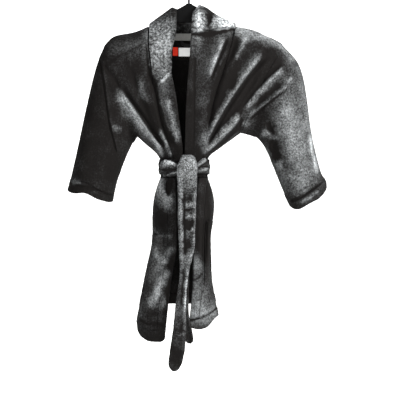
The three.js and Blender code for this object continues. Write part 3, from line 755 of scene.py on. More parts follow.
def write_tone_and_painted_light(piece: bpy.types.Object, tone_and_painted_light: np.ndarray) -> None:
    """Stores the pile's tone, with its painted highlights and shade, at each vertex, and shades the piece
    smooth.

    Args:
        piece: The piece.
        tone_and_painted_light: One value for each vertex.
    """
    layer = piece.data.attributes.get("tone_and_painted_light") or piece.data.attributes.new("tone_and_painted_light", "FLOAT", "POINT")
    layer.data.foreach_set("value", np.clip(tone_and_painted_light, 0.0, 1.0).astype(np.float32))
    piece.data.polygons.foreach_set("use_smooth", [True] * len(piece.data.polygons))


def dress(piece: bpy.types.Object, material: bpy.types.Material) -> None:
    """Gives a piece one material."""
    piece.data.materials.clear()
    piece.data.materials.append(material)


def finish_cloth(
    piece: bpy.types.Object, points: np.ndarray, tone_and_painted_light: np.ndarray, material: bpy.types.Material
) -> None:
    """Writes a piece's shape and pile, and dresses it.

    Args:
        piece: The piece.
        points: Its vertices in millimetres, one row each.
        tone_and_painted_light: How light its pile is, with its painted highlights and shade, one value for
            each vertex.
        material: Its finish.
    """
    write_points(piece, points)
    write_tone_and_painted_light(piece, tone_and_painted_light)
    dress(piece, material)


def attach(piece: bpy.types.Object, node: str, *bodies: str | tuple[float, float, float]) -> None:
    """Puts a finished piece on its body in place of its CAD node; given more than one body it only bakes the
    piece's transform and hides the node.

    Args:
        piece: The piece.
        node: The CAD node it stands for.
        *bodies: The body it rides on, or two bodies and a stretch; with two, neither carries it, and only the
                 second is logged.
    """
    if len(bodies) == 1:
        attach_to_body(piece, bodies[0])
    else:
        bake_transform(piece)
    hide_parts(node)
    log.info("%s: %d vertices on %s", piece.name, len(piece.data.vertices), bodies[:2][-1])


# ---------------------------------------------------------------- the robe's folds


def front_relief() -> Relief:
    """Folds of the robe's front, sleeves and collars, with the painted highlights and shade of their pile.

    Returns:
        The folds and patches, laid out as seen from the front.
    """
    # Each fold gives its path, width, height, painted light (a highlight on its crest, shade where negative),
    # fade and lean; each patch its centre, radii, painted light and billow.
    folds = (
        # wearer's right bodice
        Fold(((-150, -232), (-128, -264), (-108, -292), (-86, -325), (-62, -356), (-46, -378)),
             14, 8, 0.62, 0.2, 1),
        Fold(((-104, -205), (-98, -238), (-88, -272)), 8, 3, 0.26, 0.3),
        Fold(((-82, -196), (-67, -247), (-55, -308), (-37, -350), (-21, -367)), 5, -7, -0.3),
        Fold(((-62, -318), (-48, -350), (-36, -380)), 4.5, 3.5, 0.5, 0.15),
        Fold(((-78, -336), (-62, -360), (-52, -380)), 3.5, 2, 0.3, 0.15),
        Fold(((-50, -255), (-33, -308), (-20, -356)), 7, 2.5, 0.42, 0.15),
        Fold(((-66, -236), (-52, -290), (-38, -345)), 4, 2.5, 0.14),
        Fold(((-61, -226), (-50, -218), (-37, -207)), 3.2, 3, 0.55),
        Fold(((-168, -184), (-130, -164), (-96, -147)), 2.6, -2, -0.12, 0.05),
        Fold(((-88, -140), (-85, -180), (-79, -226)), 3.5, -3, -0.2),
        Fold(((-124, -190), (-108, -232), (-88, -286), (-68, -335)), 7, -3.5, -0.1),
        # wearer's right sleeve
        Fold(((-181, -172), (-172, -232), (-162, -304), (-146, -372)), 5, 3, 0.05, 0.05, -1),
        Fold(((-183, -180), (-160, -210), (-140, -240)), 4, -2.5, -0.06),
        Fold(((-170, -394), (-162, -430), (-158, -455)), 7, -3.5, -0.03),
        Fold(((-206, -300), (-215, -370), (-222, -430)), 14, 3, 0.02),
        Fold(((-162, -318), (-150, -316), (-138, -324)), 6, 3, 0.26),
        # wearer's left front, its lapel and what radiates from the waist
        Fold(((76, -128), (66, -155), (54, -184), (40, -219)), 9, 6, 0.5, 0.15, 1),
        Fold(((34, -230), (30, -290), (22, -350)), 9, 2.5, 0.08),
        Fold(((101, -118), (97, -138), (82, -176), (71, -196), (59, -234), (48, -270), (36, -362)),
             6, -7.5, -0.25),
        Fold(((118, -126), (108, -155), (96, -180)), 6, 5, 0.42),
        Fold(((24, -368), (55, -308), (80, -266), (112, -218), (134, -190), (164, -160)),
             12, 9, 0.48, 0.12, -1),
        Fold(((39, -335), (78, -302), (105, -268), (118, -247), (150, -192)), 6, -5, -0.2),
        Fold(((112, -282), (140, -246), (164, -220), (198, -190)), 10, 6, 0.45, 0.15, 1),
        Fold(((26, -376), (60, -346), (92, -314), (112, -288)), 12, 7, 0.5, 0.12, -1),
        Fold(((120, -300), (150, -274), (186, -246), (214, -224)), 6, 4, 0.3, 0.15, -1),
        Fold(((130, -276), (166, -250), (196, -222)), 8, -4, -0.18),
        Fold(((13, -172), (11, -260), (9, -372)), 1.8, -1.3, -0.25, 0.03),
        Fold(((107, -283), (106, -300), (105, -326)), 3, -3, -0.3, 0.1),
        Fold(((6, -128), (40, -127), (70, -120), (96, -113)), 3, -1.5, -0.7, 0.03),
        # wearer's left sleeve and shoulder
        Fold(((97, -116), (140, -124), (186, -138), (228, -182)), 13, 1.5, 0.44, 0.1),
        Fold(((228, -180), (242, -250), (258, -330), (272, -410)), 12, 3, 0.2, 0.06),
        Fold(((166, -152), (150, -176), (140, -196)), 4, -3, -0.22),
        Fold(((196, -218), (205, -222), (214, -212)), 3, 2, 0.3),
        Fold(((186, -260), (200, -320), (224, -400), (240, -440)), 16, 4, 0.14),
        Fold(((146, -324), (165, -330), (182, -348)), 6, 3, 0.4),
        Fold(((164, -300), (174, -350), (186, -392)), 7, -5, -0.3),
        # turned ends of both sleeves
        Fold(((-236, -437), (-199, -444), (-168, -455), (-156, -459)), 2.4, -2.2, -0.2, 0.03),
        Fold(((208, -471), (228, -464), (252, -449), (273, -433)), 2.2, -2.4, -0.45, 0.05),
        Fold(((230, -474), (248, -463), (268, -449)), 3.2, 1.5, 0.3, 0.1),
        Fold(((250, -330), (255, -368), (265, -413)), 4, 2, 0.4, 0.08),
        # wearer's right skirt
        Fold(((-40, -424), (-42, -450), (-44, -462)), 5, -4, -0.5),
        Fold(((-34, -603), (-56, -636), (-68, -662), (-86, -696)), 9, 4, 0.5, 0.2),
        Fold(((-30, -560), (-50, -588), (-62, -622)), 8, 3, 0.28, 0.2),
        Fold(((-40, -620), (-48, -660), (-60, -700)), 7, 3, 0.2, 0.2),
        Fold(((-104, -716), (-84, -724), (-52, -722)), 2.5, -2.5, -0.15, 0.05),
        Fold(((-6, -716), (20, -712), (40, -704), (62, -692)), 2.4, -2.5, -0.4, 0.03),
        Fold(((-78, -524), (-61, -541), (-31, -541)), 3, 1.2, 0.22, 0.08),
        Fold(((-84, -560), (-60, -590), (-40, -600)), 8, 2.5, 0.18),
        Fold(((-92, -640), (-80, -680), (-66, -712)), 8, -3, -0.06),
        # wearer's left skirt
        Fold(((22, -425), (22, -520), (22, -610)), 5, 2.5, 0.02),
        Fold(((36, -430), (38, -520), (34, -600)), 6, -3, -0.04),
        Fold(((25, -507), (29, -587), (34, -615)), 4, -2, -0.08),
        Fold(((2, -629), (13, -633), (29, -619)), 2, -1.5, -0.22, 0.1),
        Fold(((-2, -560), (-1, -640), (-2, -728)), 3, 1.5, 0.3, 0.05),
    )
    patches = (
        Patch((-60, -150), (26, 60), 0.55),
        Patch((-40, -130), (14, 50), 0.25),
        Patch((-52, -235), (14, 40), 0.15),
        Patch((18, -95), (13, 52), 0.85, 4),
        Patch((80, -98), (36, 20), 1.05, 4),
        Patch((42, -92), (7, 24), -0.55, -5),
        Patch((40, -200), (40, 80), 0.08),
        Patch((60, -165), (14, 40), 0.06),
        Patch((150, -125), (50, 14), 0.12),
        Patch((212, -205), (26, 40), 0.1),
        Patch((200, -285), (34, 50), 0.26),
        Patch((226, -335), (34, 70), 0.3),
        Patch((240, -420), (34, 50), 0.2),
        Patch((205, -235), (14, 20), 0.1, 3),
        Patch((-120, -270), (20, 30), 0.08),
        Patch((-61, -438), (13, 26), 1.0, 4),
        Patch((-44, -468), (13, 20), 0.5, 2),
        Patch((-42, -530), (12, 40), 0.08),
        Patch((-54, -510), (14, 18), -0.12, -2),
        Patch((-65, -575), (26, 46), 0.12),
        Patch((-64, -650), (30, 50), 0.2),
        Patch((17, -595), (14, 24), 0.3, 2),
        Patch((20, -660), (30, 50), 0.3),
        Patch((-38, -655), (13, 55), -0.45),
        Patch((238, -434), (26, 26), 0.12),
        Patch((186, -394), (9, 12), 0.45),
        Patch((204, -430), (22, 34), 0.16),
        Patch((212, -400), (20, 11), -0.2),
        Patch((-236, -430), (12, 5), 0.4),
        Patch((-188, -450), (9, 4), 0.15),
        Patch((156, -374), (13, 22), 0.4),
        Patch((-74, -348), (14, 20), -0.25),
        Patch((62, -262), (13, 36), -0.3),
        Patch((90, -230), (11, 22), -0.3),
        Patch((116, -306), (15, 14), 0.3),
        Patch((-126, -150), (40, 26), 0.15),
        Patch((-106, -702), (14, 24), 0.25),
        Patch((-78, -112), (14, 24), 0.3),
        Patch((22, -562), (14, 24), -0.15),
        Patch((30, -705), (40, 22), 0.4),
        Patch((40, -600), (10, 60), -0.1),
    )
    return Relief(folds, patches, 0.09)


def back_relief() -> Relief:
    """Folds of the robe's back, with the painted highlights and shade of its pile.

    Returns:
        The folds and patches, laid out on the same x and z.
    """
    folds = (
        Fold(((-20, -370), (-60, -320), (-110, -250)), 13, 6, 0.3),
        Fold(((-5, -372), (0, -340), (4, -312)), 9, 4, 0.15),
        Fold(((18, -370), (60, -315), (120, -240)), 13, 6, 0.35),
        Fold(((-34, -372), (-80, -345), (-104, -330)), 9, 4, 0.2),
        Fold(((30, -372), (76, -340), (106, -322)), 9, 4, 0.2),
        Fold(((-30, -425), (-42, -540), (-60, -670)), 12, 5, 0.25),
        Fold(((-10, -425), (-10, -560), (-14, -680)), 9, -5, -0.05),
        Fold(((8, -425), (12, -540), (16, -680)), 12, 5, 0.25),
        Fold(((26, -430), (36, -560), (40, -680)), 8, -3, 0.0),
        Fold(((-60, -440), (-80, -560), (-90, -670)), 9, -4, 0.0),
        Fold(((-185, -190), (-188, -300), (-200, -430)), 13, 4, 0.15),
        Fold(((200, -190), (215, -300), (240, -430)), 13, 4, 0.3),
        Fold(((-150, -330), (-175, -370), (-190, -430)), 8, -4, 0.0),
        Fold(((150, -322), (190, -370), (215, -430)), 8, -4, 0.0),
    )
    patches = (
        Patch((120, -200), (70, 80), 0.16),
        Patch((220, -330), (50, 90), 0.2),
        Patch((-60, -560), (40, 90), 0.12),
        Patch((20, -600), (40, 80), 0.16),
    )
    return Relief(folds, patches, 0.12)


def hood_relief() -> Relief:
    """Folds of the hood's pouch, with the painted highlights and shade of its pile.

    Returns:
        The folds and patches, laid out on the same x and z.
    """
    folds = (
        Fold(((-60, -120), (-40, -200), (-6, -270), (6, -285)), 12, 5, 0.25),
        Fold(((70, -120), (52, -200), (20, -270), (8, -285)), 12, 5, 0.25),
        Fold(((-30, -140), (-18, -200), (-2, -250)), 8, -4, -0.05),
        Fold(((44, -140), (30, -200), (14, -250)), 8, -4, -0.05),
        Fold(((6, -150), (6, -230)), 6, -2.5, -0.05),
        Fold(((-60, -200), (0, -225), (70, -205)), 9, 3, 0.12),
    )
    return Relief(folds, (Patch((6, -200), (60, 70), 0.14),), 0.18)


def calm_at_belt(z: np.ndarray) -> np.ndarray:
    """1 away from the belt, falling to 0 where the belt holds the cloth tight."""
    gap = np.abs(z - BELT_MIDDLE)
    return 0.12 * (gap >= 22.0) + 0.88 * smooth_step(gap, 22.0, 62.0)


def settle_shoulders(points: np.ndarray) -> None:
    """Lets both shoulders settle a little at their ends.

    Args:
        points: Points in millimetres, one row each, which it moves.
    """
    x, _, z = points.T.copy()
    shoulder = smooth_step(z, -250.0, -150.0)
    points[:, 2] -= shoulder * (15.0 * bell(x, -113.0, 46.0) + 5.0 * bell(x, 165.0, 20.0))


def rounding(past: np.ndarray, span: float, radius: float) -> np.ndarray:
    """How far a corner of a given radius turns up at each distance past its start, up to span."""
    return radius - np.sqrt(radius**2 - np.clip(past, 0.0, span) ** 2)


def hang_skirts(points: np.ndarray, x: np.ndarray, y: np.ndarray, z: np.ndarray) -> None:
    """Lets the skirts' sides fall smoothly past the pockets, and turns up their lower corners.

    Args:
        points: Points in millimetres, one row each, which it moves.
        x: Across, as the points were.
        y: Back, as the points were.
        z: Up, as the points were.
    """
    below_belt = z < -425.0
    side = smooth_step(np.abs(x + 18.0), 38.0, 78.0) * np.sign(x + 18.0)
    points[:, 0] -= 6.5 * side * bell(z, -548.0, 42.0) * below_belt
    low = smooth_step(-z, 690.0, 755.0) * below_belt * (y < 10.0)
    points[:, 2] += low * (rounding(-x - 76.0, 33.0, 36.0) + rounding(x + 62.0, 14.0, 16.0) * (x < -40.0))
    low = smooth_step(-z, 640.0, 729.0) * (y < 10.0)
    points[:, 2] += low * (19.0 * smooth_step(x, 36.0, 66.0) - 5.0 * bell(x, 22.0, 16.0)) * (x > -5.0)
    points[:, 0] -= 3.0 * low * smooth_step(x, 30.0, 60.0)


def hang_shoulder_and_neck(points: np.ndarray, x: np.ndarray, y: np.ndarray, z: np.ndarray) -> None:
    """Fills out the left shoulder, opens the collar, lifts the back of the neck and slants the collar's seam.

    Args:
        points: Points in millimetres, one row each, which it moves.
        x: Across, as the points were.
        y: Back, as the points were.
        z: Up, as the points were.
    """
    full = bell(z, -184.0, np.where(z > -184.0, 46.0, 100.0))
    points[:, 0] += smooth_step(x, 162.0, 216.0) * (24.0 * full + 6.0 * smooth_step(-z, 184.0, 300.0))
    inner = smooth_step(x, -66.0, -32.0) * (x < -8.0) * (y < -2.0) * (z < -80.0)
    points[:, 0] -= 6.0 * inner * bell(z, -160.0, 26.0)
    neck = bell(x, 3.0, 44.0, 4) * smooth_step(z, -113.0, -102.0) * (y > 5.0)
    points[:, 2] += 13.0 * neck * (1.0 - smooth_step(y, 44.0, 64.0))
    slant = bell(z, -214.0, 26.0) * bell(x, -48.0, 34.0, 4) * (x < -10.0) * (y < 0.0)
    points[:, 2] += 0.55 * (x + 48.0) * slant


def hang_sleeve_ends(points: np.ndarray, x: np.ndarray, z: np.ndarray) -> None:
    """Waves the right sleeve's end, and lets the left one drop at its inner side and roll out.

    Args:
        points: Points in millimetres, one row each, which it moves.
        x: Across, as the points were.
        z: Up, as the points were.
    """
    end = smooth_step(-z, 405.0, 445.0) * (x < -130.0)
    wave = 9.0 * bell(x, -213.0, 19.0) - 3.0 * bell(x, -163.0, 11.0) + 6.0 * smooth_step(x, -160.0, -146.0)
    points[:, 2] += end * wave
    end = smooth_step(-z, 395.0, 450.0) * (x > 150.0)
    points[:, 2] += end * (6.0 * smooth_step(x, 258.0, 282.0) - 14.0 * bell(x, 215.0, 23.0))
    points[:, 0] += 4.0 * bell(z, -432.0, 14.0) * smooth_step(x, 240.0, 272.0)


def hang_softly(points: np.ndarray) -> None:
    """Lets the whole robe hang as worn cloth does.

    Args:
        points: Points in millimetres, one row each, which it moves.
    """
    settle_shoulders(points)
    x, y, z = points.T.copy()
    hang_skirts(points, x, y, z)
    hang_shoulder_and_neck(points, x, y, z)
    hang_sleeve_ends(points, x, z)


@dataclass(frozen=True)
class Cut:
    """How one piece of cloth was cut and how it is made.

    Attributes:
        node: The CAD node it stands for.
        body: The CAD body it rides on.
        flat: Width and length it was cut to, in metres; not used.
        area: Its flat area in square metres; not used.
        hold: How it is held; not used.
        on: What carries it; not used.
        levels: How finely it is divided.
    """

    node: str
    body: str
    flat: tuple[float, float]
    area: float
    hold: Hold
    on: str
    levels: int = 3


@dataclass
class Cloth:
    """What every sub-assembly of cloth shares.

    Attributes:
        finishes: The materials.
        front: Folds of the front.
        back: Folds of the back.
        made: The pieces made so far, by their CAD node.
    """

    finishes: Wardrobe
    front: Relief
    back: Relief
    made: dict[str, bpy.types.Object]

    def shape(self, piece: bpy.types.Object, side: Side, middle: float = 0.0, calm: bool = True) -> None:
        """Moves a piece's cloth into its folds and stores the painted highlights and shade of its pile.

        Args:
            piece: The piece.
            side: The face of the robe it belongs to.
            middle: y of the plane between the front and the back.
            calm: Whether the folds die away at the belt.
        """
        points = read_points(piece)
        normals = read_normals(piece)
        hang_softly(points)
        x, y, z = points.T
        if side is Side.ROUND:
            ahead = smooth_step(middle - y, -5.0, 5.0)
            share = smooth_step(middle - y, -20.0, 20.0)
        else:
            ahead = np.full(len(x), 1.0 if side is Side.FRONT else 0.0)
            edge = 0.5 * (1.0 - smooth_step(np.abs(y - middle), 0.0, 20.0)) * (np.abs(normals[:, 0]) > 0.35)
            share = np.abs(ahead - edge)
        tall_front, light_front = self.front.at(x, z)
        tall_back, light_back = self.back.at(x, z)
        near_seam = smooth_step(np.abs(y - middle), 2.0, 16.0)
        held = calm_at_belt(z) if calm else 1.0
        sway = soft_noise(points, 34.0, 3) * 1.6 + soft_noise(points, 15.0, 5) * 0.7
        out = (ahead * tall_front + (1.0 - ahead) * tall_back + sway) * near_seam * held
        points[:, 1] += out * (1.0 - 2.0 * ahead)
        tuft = soft_noise(points, 3.2, 11) * 0.30 + soft_noise(points, 7.0, 12) * 0.25
        points += normals * tuft[:, None]
        write_points(piece, points)
        # Painted highlights and shade from the front's and the back's folds and patches; faces turned into
        # the robe take a plain dark tone without them; the noise is the pile's random tone.
        light = share * light_front + (1.0 - share) * light_back
        outward = np.where(ahead > 0.5, -normals[:, 1], normals[:, 1])
        light = np.where(outward < -0.25, 0.07, light) + soft_noise(points, 26.0, 8) * 0.05
        write_tone_and_painted_light(piece, light)

    def sew(self, cut: Cut, material: bpy.types.Material, side: Side, middle: float = 0.0,
            calm: bool = True) -> bpy.types.Object:
        """Makes one piece of cloth from its CAD node.

        Args:
            cut: How it is cut.
            material: Its finish.
            side: The face of the robe it belongs to.
            middle: y of the plane between the front and the back.
            calm: Whether its folds die away at the belt.

        Returns:
            The piece.
        """
        piece = smooth_copy(cut.node, f"{cut.node}_cloth", cut.levels)
        self.shape(piece, side, middle, calm)
        dress(piece, material)
        self.made[cut.node] = piece
        return piece

    def seat(self, cut: Cut) -> None:
        """Args:
            cut: How it is cut.
        """
        piece = self.made[cut.node]
        attach(piece, cut.node, *bodies_of(cut))


def bodies_of(cut: Cut) -> tuple:
    """What a piece rides on: one body, or two bodies and a stretch between them.

    Args:
        cut: How the piece is cut.

    Returns:
        The words for attach.
    """
    if cut.node == "right_sleeve":
        return "robe", "right_sleeve", (-0.1500, 0.0, -0.2262), (-0.2204, 0.0, -0.2521)
    if cut.node == "left_sleeve":
        return "robe", "left_sleeve", (0.1600, 0.0, -0.2125), (0.2333, 0.0, -0.2445)
    if cut.body in ("right_skirt", "left_skirt") and not cut.node.endswith("front_hem"):
        return "robe", cut.body, (0.0, 0.0, -0.430), (0.0, 0.0, -0.600)
    if cut.body == "hood" and cut.node != "hood_hem":
        return "robe", "hood", (0.0, 0.02, -0.100), (0.0, 0.06, -0.170)
    return (cut.body,)


@dataclass
class Hanger:
    """The black hanger: its wire hook and its moulded body.

    Attributes:
        finishes: The materials.
        edge: Radius of the moulded edges.
    """

    finishes: Wardrobe
    edge: float = 1.6

    def build(self) -> None:
        """Dresses the hook, and makes the moulded body with rounded edges and settled arms."""
        dress_node(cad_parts["hanger_hook"], self.finishes.wire)
        shape = bmesh.new()
        shape.from_mesh(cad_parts["hanger_body"].data)
        bmesh.ops.remove_doubles(shape, verts=shape.verts, dist=2e-5)
        mesh = bpy.data.meshes.new("hanger_body_moulded")
        shape.to_mesh(mesh)
        shape.free()
        piece = bpy.data.objects.new("hanger_body_moulded", mesh)
        bpy.context.collection.objects.link(piece)
        points = read_points(piece)
        settle_shoulders(points)
        write_points(piece, points)
        rounded = piece.modifiers.new("moulded edges", "BEVEL")
        rounded.width = self.edge * MM
        rounded.segments = 3
        rounded.limit_method = "ANGLE"
        rounded.angle_limit = math.radians(50)
        settle(piece)
        dress(piece, self.finishes.plastic)
        attach(piece, "hanger_body", "robe")


def dress_node(node: bpy.types.Object, material: bpy.types.Material) -> None:
    """Gives every slot of a CAD node one material.

    Args:
        node: The node.
        material: The material.
    """
    if not node.material_slots:
        node.data.materials.append(material)
    for slot in node.material_slots:
        slot.material = material


@dataclass
class Bodice(Cloth):
    """The back, both fronts, their bands and hems, and the skirt below the belt."""

    cuts: tuple[Cut, ...] = (
        Cut("back_panel", "robe", (0.370, 0.600), 0.150, Hold.HUNG, "hanger_body"),
        Cut("back_hem", "robe", (0.230, 0.024), 0.0052, Hold.HUNG, "back_panel_cloth"),
        Cut("right_front_bodice", "robe", (0.170, 0.330), 0.0270, Hold.HUNG, "hanger_body"),
        Cut("left_front_bodice", "robe", (0.175, 0.330), 0.0270, Hold.HUNG, "hanger_body"),
        Cut("right_front_band", "robe", (0.050, 0.210), 0.0071, Hold.HUNG, "right_front_bodice_cloth"),
        Cut("left_front_band", "robe", (0.095, 0.320), 0.0190, Hold.HUNG, "left_front_bodice_cloth"),
        Cut("right_front_skirt", "right_skirt", (0.075, 0.320), 0.0175, Hold.HUNG, "belt_waist"),
        Cut("left_front_skirt", "left_skirt", (0.060, 0.290), 0.0116, Hold.HUNG, "belt_waist"),
        Cut("right_skirt_band", "right_skirt", (0.020, 0.320), 0.0060, Hold.HUNG, "right_front_skirt_cloth"),
        Cut("left_skirt_band", "left_skirt", (0.020, 0.290), 0.0056, Hold.HUNG, "left_front_skirt_cloth"),
        Cut("right_front_hem", "right_skirt", (0.085, 0.024), 0.0019, Hold.HUNG, "right_front_skirt_cloth"),
        Cut("left_front_hem", "left_skirt", (0.088, 0.024), 0.0020, Hold.HUNG, "left_front_skirt_cloth"),
    )

    def build(self) -> None:
        """Makes, dresses and seats the pieces."""
        for cut in self.cuts:
            side = Side.BACK if cut.node.startswith("back") else Side.FRONT
            hemmed = cut.node.endswith(("hem", "band"))
            self.sew(cut, self.finishes.hem if hemmed else self.finishes.body, side)
        for cut in self.cuts:
            self.seat(cut)


@dataclass
class Sleeves(Cloth):
    """Both sleeves and their turned cuffs."""

    cuts: tuple[Cut, ...] = (
        Cut("right_sleeve", "right_sleeve", (0.300, 0.330), 0.066, Hold.HUNG, "right_front_bodice_cloth"),
        Cut("left_sleeve", "left_sleeve", (0.300, 0.340), 0.070, Hold.HUNG, "left_front_bodice_cloth"),
        Cut("right_cuff", "right_sleeve", (0.245, 0.025), 0.0056, Hold.HUNG, "right_sleeve_cloth"),
        Cut("left_cuff", "left_sleeve", (0.225, 0.025), 0.0052, Hold.HUNG, "left_sleeve_cloth"),
    )

    def build(self) -> None:
        """Makes, dresses and seats the pieces."""
        for cut in self.cuts:
            material = self.finishes.hem if cut.node.endswith("cuff") else self.finishes.body
            self.sew(cut, material, Side.ROUND, SEAM_Y, False)
        for cut in self.cuts:
            self.seat(cut)


@dataclass
class Pockets(Cloth):
    """Both patch pockets and the turned hems along their mouths."""

    cuts: tuple[Cut, ...] = (
        Cut("right_pocket", "right_skirt", (0.055, 0.115), 0.0052, Hold.HUNG, "right_front_skirt_cloth"),
        Cut("left_pocket", "left_skirt", (0.045, 0.110), 0.0040, Hold.HUNG, "left_front_skirt_cloth"),
        Cut("right_pocket_hem", "right_skirt", (0.060, 0.017), 0.0010, Hold.HUNG, "right_pocket_cloth"),
        Cut("left_pocket_hem", "left_skirt", (0.048, 0.017), 0.0008, Hold.HUNG, "left_pocket_cloth"),
    )

    def build(self) -> None:
        """Makes, dresses and seats the pieces."""
        for cut in self.cuts:
            material = self.finishes.hem if cut.node.endswith("hem") else self.finishes.body
            piece = self.sew(cut, material, Side.FRONT)
            points = read_points(piece)
            across = points[:, 0].copy()
            points[:, 0] += 5.0 * smooth_step(-across, 58.0, 92.0) - 8.5 * smooth_step(across, 30.0, 56.0)
            write_points(piece, points)
        for cut in self.cuts:
            self.seat(cut)


@dataclass
class Hood(Cloth):
    """The hood's pouch behind the neck and its two ends that stand as collars."""

    collars: tuple[Cut, ...] = (
        Cut("right_collar", "robe", (0.060, 0.200), 0.0095, Hold.FOLDED, "right_front_bodice_cloth"),
        Cut("left_collar", "robe", (0.105, 0.075), 0.0065, Hold.FOLDED, "left_front_band_cloth"),
    )
    pouch: tuple[Cut, ...] = (
        Cut("hood_right_half", "hood", (0.130, 0.400), 0.034, Hold.HUNG, "back_panel_cloth"),
        Cut("hood_left_half", "hood", (0.130, 0.400), 0.033, Hold.HUNG, "back_panel_cloth"),
        Cut("hood_hem", "hood", (0.280, 0.020), 0.0054, Hold.HUNG, "hood_left_half_cloth"),
    )
    inside: Relief = field(default_factory=hood_relief)

    def build(self) -> None:
        """Makes, dresses and seats the pieces."""
        for cut in self.collars:
            self.sew(cut, self.finishes.fleece, Side.FRONT)
        for cut in self.pouch:
            piece = smooth_copy(cut.node, f"{cut.node}_cloth", cut.levels)
            self.drape(piece)
            dress(piece, self.finishes.hem if cut.node.endswith("hem") else self.finishes.fleece)
            self.made[cut.node] = piece
        for cut in self.collars + self.pouch:
            self.seat(cut)

    def drape(self, piece: bpy.types.Object) -> None:
        """Puts the pouch's own folds into its outer cloth, and stores their painted highlights and shade,
        taking the front's where it comes forward.

        Args:
            piece: One piece of the pouch.
        """
        points = read_points(piece)
        normals = read_normals(piece)
        hang_softly(points)
        x, y, z = points.T
        tall, light = self.inside.at(x, z)
        _, front_light = self.front.at(x, z)
        far = smooth_step(y, 55.0, 75.0)
        points[:, 1] += tall * far
        points += normals * (soft_noise(points, 3.2, 21) * 0.3 + soft_noise(points, 8.0, 22) * 0.3)[:, None]
        write_points(piece, points)
        # Painted highlights and shade of the pouch's folds, and of the front's near the neck.
        outer = smooth_step(y, 20.0, 40.0)
        write_tone_and_painted_light(piece, light * outer + front_light * (1.0 - outer) + soft_noise(points, 24.0, 23) * 0.05)


@dataclass
class NeckDetails:
    """Tape, label, tab and hanging loop on the inside of the back of the neck.

    Attributes:
        finishes: The materials.
    """

    finishes: Wardrobe

    def build(self) -> None:
        tape = self.sew("neck_tape", self.finishes.tape, "robe")
        label = self.sew("label", self.finishes.label, "robe", (0.0, -0.6, -3.0))
        tab = self.sew("size_tab", self.finishes.tab, "robe", (-1.0, -1.0, -3.0))
        loop = self.sew("hanging_loop", self.finishes.loop, "peg_loop", (0.0, -1.2, -5.5))

    def sew(self, node: str, material: bpy.types.Material, body: str,
            sag: tuple[float, float, float] = (0.0, 0.0, 0.0)) -> bpy.types.Object:
        """Makes one piece.

        Args:
            node: Its CAD node.
            material: Its finish.
            body: The body it rides on.
            sag: How far it has settled in use.

        Returns:
            The piece.
        """
        piece = smooth_copy(node, f"{node}_sewn", 2)
        points = read_points(piece)
        points[:, 1] -= 0.25 * (1.0 + soft_noise(points, 9.0, 31))
        points += np.array(sag)
        finish_cloth(piece, points, np.zeros(len(points)), material)
        attach(piece, node, body)
        return piece


